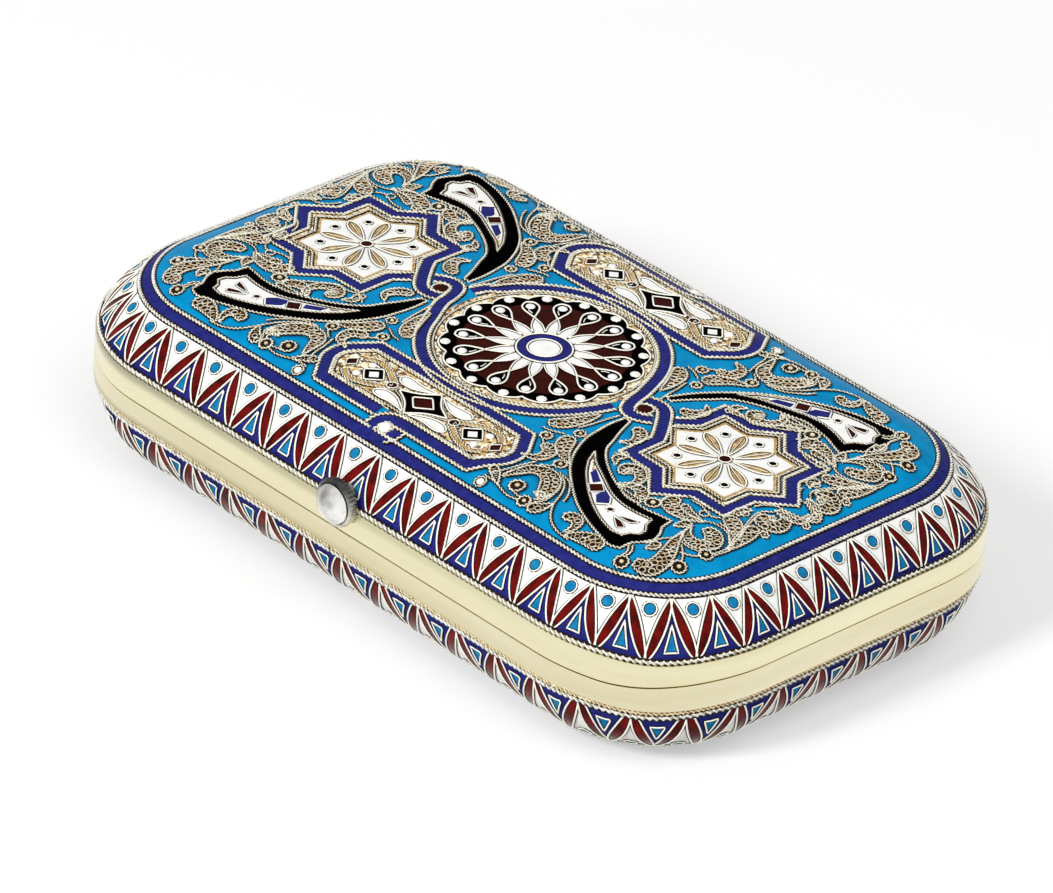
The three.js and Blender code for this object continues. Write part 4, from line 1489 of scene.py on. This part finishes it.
# Each horn: its mirror in x and y, small turn, shift, and which back it has.
HORNS = ((1, -1, 0, (0, 0), HORN_BACK), (1, 1, -9, (1.5, -0.6), SLIM_BACK),
         (-1, 1, 2, (0, 0.6), HORN_BACK), (-1, -1, 0, (0.9, -0.2), HORN_BACK))
print(len(HORNS), "horns on each face")


# %% The four horns
def horn(motif, put, back_points):
    back, belly = smooth_line(back_points, steps=4), smooth_line(HORN_BELLY, steps=4)
    outline = np.vstack([back, belly, HORN_HEAD])
    motif.fill(BLACK, put(outline), "ground")
    motif.ropes.rope(put(offset_line(outline, 0.22, True)), True, 0.46)
    up_line, down_line = (smooth_line(line, steps=3) for line in (HORN_PANEL_UP, HORN_PANEL_DOWN))
    panel_line = np.vstack([up_line, HORN_PANEL_HEAD, down_line])
    motif.fill(WHITE, put(panel_line), "cell")
    motif.ropes.rope(put(offset_line(panel_line, 0.05, True)), True, 0.34, 0.12)
    motif.fill(SCRAP, put(HORN_SCRAP), "inner")
    motif.fill(NAVY, put(CHEVRON_FIRST), "inner")
    square, square_wire = (put(turned_about(lozenge(0, 0, half, half), *HORN_SQUARE, 8))
                           for half in (1.12, 1.2))
    motif.wired(BROWN_RED, square, square_wire, "inner", 0.14, 0.14)
    motif.fill(NAVY, put(CHEVRON_SECOND), "inner")
    motif.wires.wire(put(CHEVRON_WIRE), width=0.24, lift=0.16)
    dot, dot_wire = (put(circle_line(*HORN_DOT, radius, 16)) for radius in (0.42, 0.5))
    motif.wired(BROWN_RED, dot, dot_wire, "inner", 0.16, 0.14)
    for tulip in TULIPS:
        motif.wired(BROWN_RED, put(tulip), put(tulip), "inner", 0.14, 0.14)


def horn_place(sx, sy, degrees, shift):
    """Mirrors a horn into its corner, then gives it its own small turn and shift."""
    def put(points):
        p = (np.asarray(points, float) - HORN_MIDDLE) * (sx, -sy)
        middle = (HORN_MIDDLE[0] * sx + shift[0], -HORN_MIDDLE[1] * sy + shift[1])
        return turned_about(p, *middle, degrees)
    return put


def horns(face, body):
    motif = Motif("horns", face, body)
    for sx, sy, degrees, shift, back in HORNS:
        horn(motif, horn_place(sx, sy, degrees, shift), back)
    motif.finish()


for body, face in FACES:
    horns(face, body)

# %% [markdown]
# ## Filigree
# The turquoise between the motifs is filled with scrolls of twisted wire: stems, curled leaves packed
# with loops of wire, and small rings that each hold a grain. One corner of the lid is drawn and
# mirrored to the other three, with a slight pull in each corner, as in hand work.

# %% One corner of filigree
# Each leaf is its widest width and its middle line from the fat end to the tip.
LEAVES = [
    (2.4, [(24.6, -23.2), (23.8, -21.4), (22.6, -19.9), (21.0, -19.4), (19.5, -20.2), (18.9, -21.8),
           (18.3, -23.8)]),
    (1.4, [(24.6, -25.4), (25.8, -24.9), (26.6, -23.4)]),
    (1.5, [(29.2, -24.1), (30.2, -23.4), (31.2, -23.7), (31.6, -24.7), (31.2, -25.8)]),
    (2.0, [(36.6, -25.1), (35.0, -24.8), (33.4, -25.2), (31.6, -26.0)]),
    (2.1, [(41.2, -23.9), (42.9, -23.3), (43.2, -21.6), (42.5, -19.6), (41.5, -17.8), (40.5, -15.4)]),
    (2.1, [(41.6, -12.6), (43.2, -13.0), (44.3, -14.3), (43.7, -15.7), (42.3, -15.9), (41.0, -15.2),
           (40.2, -13.8)]),
    (2.1, [(34.8, -10.7), (35.0, -12.2), (36.5, -12.8), (38.4, -12.8), (40.4, -11.9)]),
    (1.1, [(36.3, -11.1), (37.8, -11.8), (39.8, -11.8)]),
    (2.0, [(41.2, -8.7), (42.8, -9.3), (44.3, -10.5), (45.6, -12.6)]),
    (1.7, [(44.9, -7.6), (45.3, -9.4), (46.1, -13.4)]),
    (1.6, [(26.9, -12.3), (26.2, -11.0), (27.3, -10.2), (28.7, -10.9), (29.4, -12.2), (29.3, -13.6),
           (28.3, -14.4)]),
    (1.6, [(32.3, -14.4), (31.2, -13.2), (29.6, -13.2), (28.2, -14.2)]),
    (0.9, [(32.8, -15.0), (30.8, -15.0), (28.8, -14.5)]),
    (2.1, [(17.2, -11.5), (17.9, -13.2), (19.2, -14.7), (21.2, -15.7)]),
    (1.7, [(16.3, -15.2), (17.8, -15.5), (18.3, -16.8), (17.8, -18.1), (16.2, -18.7)]),
    (1.6, [(20.4, -3.9), (21.6, -4.2), (22.4, -5.3), (22.5, -6.5), (21.5, -7.5)]),
    (1.9, [(43.5, -4.9), (44.6, -6.1), (45.8, -5.5), (46.0, -4.1), (45.2, -3.0), (43.6, -3.2)]),
    (1.4, [(43.9, -3.0), (45.4, -2.6), (46.6, -1.6), (46.3, 0.0)]),
    (2.0, [(13.2, -11.4), (14.5, -9.9), (15.3, -7.6), (15.7, -5.2)]),
    (1.0, [(24.4, -9.2), (23.9, -10.4), (24.9, -11.5)]),
    (1.3, [(39.5, -13.2), (39.3, -14.3), (38.8, -15.3)]),
    (1.1, [(16.0, -23.2), (17.4, -24.0), (18.9, -25.1)]),
    (1.3, [(41.6, -7.6), (41.3, -6.4), (42.0, -5.4)]),
    (1.3, [(40.2, -19.4), (40.7, -20.4), (40.3, -21.4)]),
    (1.0, [(24.9, -23.8), (24.2, -23.0), (23.3, -23.4)]),
]
STEMS = [
    [(16.4, -24.9), (18.5, -25.0), (21.0, -25.6), (22.8, -25.4)],
    [(22.2, -18.1), (24.2, -19.2), (25.7, -21.2), (26.7, -23.4), (28.2, -25.2), (30.2, -26.1),
     (32.4, -26.3)],
    [(22.0, -18.0), (24.4, -18.6), (26.3, -20.6), (27.0, -22.0)],
    [(24.6, -20.4), (25.2, -22.0), (25.4, -23.6), (24.6, -24.6)],
    [(20.7, -24.7), (22.0, -24.9), (22.8, -25.0)],
    [(39.8, -24.0), (39.7, -23.0), (38.9, -22.1)],
    [(38.6, -22.4), (39.3, -23.3), (39.4, -24.1)],
    [(44.7, -19.7), (43.8, -18.6), (42.3, -17.4)],
    [(45.3, -17.1), (44.6, -18.0), (43.4, -18.8)],
    [(45.7, -15.7), (45.9, -13.8), (45.2, -12.2), (43.6, -11.2), (42.0, -11.0), (40.4, -11.6), (38.4, -13.4),
     (36.0, -13.9)],
    [(46.0, -15.6), (46.2, -13.4), (45.4, -11.7), (43.6, -10.7), (41.6, -10.5)],
    [(40.2, -13.4), (40.6, -15.4), (41.6, -16.8), (43.4, -17.1), (44.9, -16.6)],
    [(18.6, -18.6), (18.0, -20.6), (17.6, -22.6), (16.7, -24.4)],
    [(43.8, -3.6), (42.9, -4.6), (42.9, -6.0), (43.7, -8.0), (45.0, -10.4), (46.0, -13.4)],
    [(43.3, -4.9), (43.4, -6.4), (44.4, -8.8), (45.6, -11.2)],
    [(22.9, -9.9), (24.3, -8.9), (26.2, -9.4), (27.8, -9.3), (30.0, -11.0), (31.4, -12.2)],
    [(15.3, -14.3), (16.0, -15.0), (16.8, -15.3)],
    [(16.2, -9.4), (16.6, -7.4), (16.9, -5.0), (17.2, -3.4)],
    [(13.4, -12.6), (14.6, -12.4), (16.2, -11.6)],
    [(20.6, -17.4), (20.2, -18.0), (19.3, -18.7)],
    [(46.6, -0.4), (46.2, -2.0), (45.0, -2.3), (43.2, -2.3), (42.0, -3.4), (41.5, -4.6)],
    [(24.9, -22.2), (25.0, -23.4), (24.2, -24.3)],
    [(40.4, -15.0), (40.7, -17.0), (40.0, -18.4), (39.6, -20.6)],
    [(33.6, -13.0), (34.0, -12.0), (33.2, -11.2)],
    [(36.0, -9.7), (37.8, -9.6), (39.9, -10.3), (41.0, -9.6)],
]
RINGS = [(20.9, -23.8, 0.95), (23.5, -25.1, 0.8), (40.0, -24.9, 0.85), (45.0, -20.4, 0.88),
         (45.4, -16.4, 0.8), (33.7, -13.8, 0.95), (20.8, -16.7, 0.8), (17.3, -10.1, 0.7),
         (15.1, -13.6, 0.75), (46.2, -7.5, 0.5), (46.8, 0.6, 0.5), (24.2, -23.1, 0.5),
         (27.0, -11.3, 0.55), (44.6, -4.6, 0.4)]
OPEN_RINGS = [(39.1, -10.5, 0.6), (23.9, -9.0, 0.45), (42.0, -6.6, 0.5)]
# The pull of each corner: mirror in x and y, scale in x and y, lift of what lies far out, shift inward.
CORNERS = [(1, -1, 1.0, 1.0, 0.0, 0.0), (1, 1, 1.01, 0.91, -1.1, 0.0), (-1, 1, 1.05, 1.03, 0.5, 1.5),
           (-1, -1, 1.0, 1.0, 0.0, 1.2)]
FAR_OUT = 38.0
BORDER_PEARL = (16.8, -25.9)
print(len(LEAVES), "leaves,", len(STEMS), "stems and", len(RINGS), "rings in each corner")

# %% Filigree in all four corners
LOOP_SPACING = 0.86


def leaf_lines(width, middle):
    """The two edges of a curled leaf, full at its head and drawn out to a tip."""
    line = smooth_line(middle, steps=5)
    run = np.concatenate([[0], np.cumsum(np.linalg.norm(np.diff(line, axis=0), axis=1))])
    share = 0.015 + 0.97 * run / run[-1]
    half = width / 2 * np.sin(math.pi * share**0.55) ** 0.75
    tangent = np.gradient(line, axis=0)
    tangent /= np.linalg.norm(tangent, axis=1, keepdims=True)
    normal = np.stack([-tangent[:, 1], tangent[:, 0]], axis=1)
    return line, line + normal * half[:, None], line - normal * half[:, None], half, run


def filigree(face, body):
    motif = Motif("filigree", face, body)
    draw = random.Random(7)
    for sx, sy, wide, deep, lift, inward in CORNERS:
        def put(points):
            p = np.asarray(points, float)
            x, y = p[..., 0] * wide - inward, -p[..., 1] * deep
            y = y + lift * np.clip((x - FAR_OUT + 3) / 5, 0, 1)
            return np.stack([x * sx, y * sy], axis=-1)
        for width, middle in LEAVES:
            line, left, right, half, run = leaf_lines(width, middle)
            motif.strip(DEEP_BROWN, put(left), put(right), layer="ground")
            motif.ropes.rope(put(np.vstack([left, right[::-1]])), True, 0.42, 0.12)
            for place in np.arange(0.35, run[-1] - 0.2, LOOP_SPACING):
                reach = np.interp(place, run, half)
                spot = np.array([np.interp(place, run, line[:, axis]) for axis in (0, 1)])
                ahead = np.array([np.interp(place + 0.2, run, line[:, axis]) for axis in (0, 1)]) - spot
                aside = np.array([-ahead[1], ahead[0]]) / max(np.linalg.norm(ahead), 1e-6)
                for row in ((0,) if reach < 0.7 else (-1, 1)):
                    drift = row * reach * 0.44 + (draw.random() - 0.5) * 0.1
                    x, y = put(spot + aside * drift)
                    size = min(0.46, max(reach * (0.52 if row else 0.72), 0.14))
                    size *= 0.9 + 0.2 * draw.random()
                    motif.loops.append((x, y, size))
        for middle in STEMS:
            motif.ropes.rope(put(smooth_line(middle, steps=4)), False, 0.36, 0.1)
        for x, y, radius in RINGS:
            centre = put([x, y])
            motif.fill(DEEP_BROWN, circle_line(*centre, radius - 0.1, 16), "ground")
            motif.ropes.rope(circle_line(*centre, radius, 20), True, 0.42, 0.1)
            motif.grains.append((*centre, radius * 0.4))
        for x, y, radius in OPEN_RINGS:
            motif.ropes.rope(circle_line(*put([x, y]), radius, 16), True, 0.34, 0.1)
        pearl = put(BORDER_PEARL)
        motif.pearls.append((*pearl, 0.5))
        motif.ropes.rope(circle_line(*pearl, 0.72, 20), True, 0.34, 0.1)
    motif.finish()


for body, face in FACES:
    filigree(face, body)

# %% [markdown]
# ## Button and collar
# The silver button and its cup are turned on a lathe, and the cup's wall is fluted for grip. Both are
# outlines spun round the button's axis. The dome's patchy tone is partly wear and partly painted
# reflection, painted shade darkens it towards its top, and the cup is painted much darker towards its
# top, where it lies in shade.

# %% Button and collar
DOME = [(0, -36.58), (0.6, -36.55), (1.15, -36.46), (1.65, -36.3), (2.08, -36.08), (2.38, -35.82),
        (2.55, -35.56), (2.58, -35.42), (2.4, -35.36), (0.9, -35.34), (0.9, -30.78), (0.55, -30.72),
        (0.5, -30.0), (0, -29.96)]
CUP = [(2.98, -34.06), (3.06, -34.5), (3.05, -35.0), (2.95, -35.28), (2.82, -35.39), (2.7, -35.34),
       (2.66, -35.1), (2.66, -34.46), (1.15, -34.46), (1.15, -31.56), (1.83, -31.56), (1.83, -34.06)]
FLUTES = 36
FLUTE_DEPTH = 0.02
CUP_WALL = 2.94


def turned_piece(outline, closed):
    """Spins an outline of radius and y round the button's axis."""
    mesh = bpy.data.meshes.new("outline")
    last = len(outline) - 1
    edges = [(i, i + 1) for i in range(last)] + ([(last, 0)] if closed else [])
    mesh.from_pydata([(radius * MM, y * MM, 0) for radius, y in outline], edges, [])
    piece = piece_of("turned", mesh)
    apply_modifier(piece, "SCREW", axis="Y", steps=4 * FLUTES, render_steps=4 * FLUTES,
                   use_merge_vertices=True, merge_threshold=1e-6, use_normal_calculate=True)
    open_whole(piece)
    bpy.ops.mesh.remove_doubles(threshold=1e-6)
    close_outward()
    return piece


def place_turned(piece, name, finish, stands_for):
    for vertex in piece.data.vertices:
        vertex.co += Vector((BUTTON_X, 0, BUTTON_HEIGHT)) * MM
    body = "button" if stands_for == "thumb_button" else "lid"
    dress(piece, name, finish, body, [stands_for], 40)
    print(name, len(piece.data.polygons), "faces")


place_turned(turned_piece(DOME, False), "silver_button", BUTTON_SILVER, "thumb_button")
cup = turned_piece(CUP, True)
for vertex in cup.data.vertices:
    radius = math.hypot(vertex.co.x, vertex.co.z) / MM
    if radius > CUP_WALL:
        swell = 1 + FLUTE_DEPTH * math.cos(FLUTES * math.atan2(vertex.co.z, vertex.co.x))
        vertex.co.x *= swell
        vertex.co.z *= swell
place_turned(cup, "silver_cup", COLLAR_SILVER, "button_collar")

# %% [markdown]
# ## Hinge, lip and catch
# The hinge's knuckles and pin, the lip and the catch are small plain parts, seen only when the lid
# stands open or from behind. Their solids are exact already, so they keep them and get a finish:
# gilt for what belongs to the case, bright metal for the spring, its block and the hook.

# %% Finishes of the plain parts
for name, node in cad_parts.items():
    if "knuckle" in name or name == "hinge_pin":
        finish = HINGE_GILT
    elif name == "base_lip":
        finish = INNER_GILT
    elif name in ("catch_hook", "catch_spring", "spring_block"):
        finish = STEEL
    else:
        continue
    node.data.materials.clear()
    node.data.materials.append(finish)
    print(name, "in", finish.name)

# %% [markdown]
# ## Made by hand
# The case isn't quite true: at the near right corner the edges sag by most of a millimetre, and the
# seam climbs along that end. A soft pull on every piece gives both halves the same bend, so the seam
# stays closed.

# %% The sag of one corner
SAG_PLACE = (49.0, -27.5)
SAG_REACH = 5.0
SAG_DEPTH = 0.85
CLIMB = 0.7
LEAST_PULL = 0.002


def smooth_step(t):
    t = np.clip(t, 0, 1)
    return t * t * (3 - 2 * t)


pulled = 0
for piece in PIECES:
    drawing = piece.data
    places = np.empty(len(drawing.vertices) * 3, np.float32)
    drawing.vertices.foreach_get("co", places)
    x, y, z = (places.reshape(-1, 3) / MM).T
    distance = (x - SAG_PLACE[0]) ** 2 + (y - SAG_PLACE[1]) ** 2
    sag = SAG_DEPTH * np.exp(-distance / (2 * SAG_REACH**2))
    sag *= smooth_step((z - 2) / 6) * smooth_step((22 - z) / 4.5)
    climb = CLIMB * smooth_step((x - 44) / 8) * smooth_step((24 - y) / 8)
    climb *= np.exp(-(((z - SEAM_HEIGHT) / 2.2) ** 2))
    if np.abs(climb - sag).max() > LEAST_PULL:
        places[2::3] += (climb - sag) * MM
        drawing.vertices.foreach_set("co", places)
        drawing.update()
        pulled += 1
print(pulled, "pieces follow the sag")
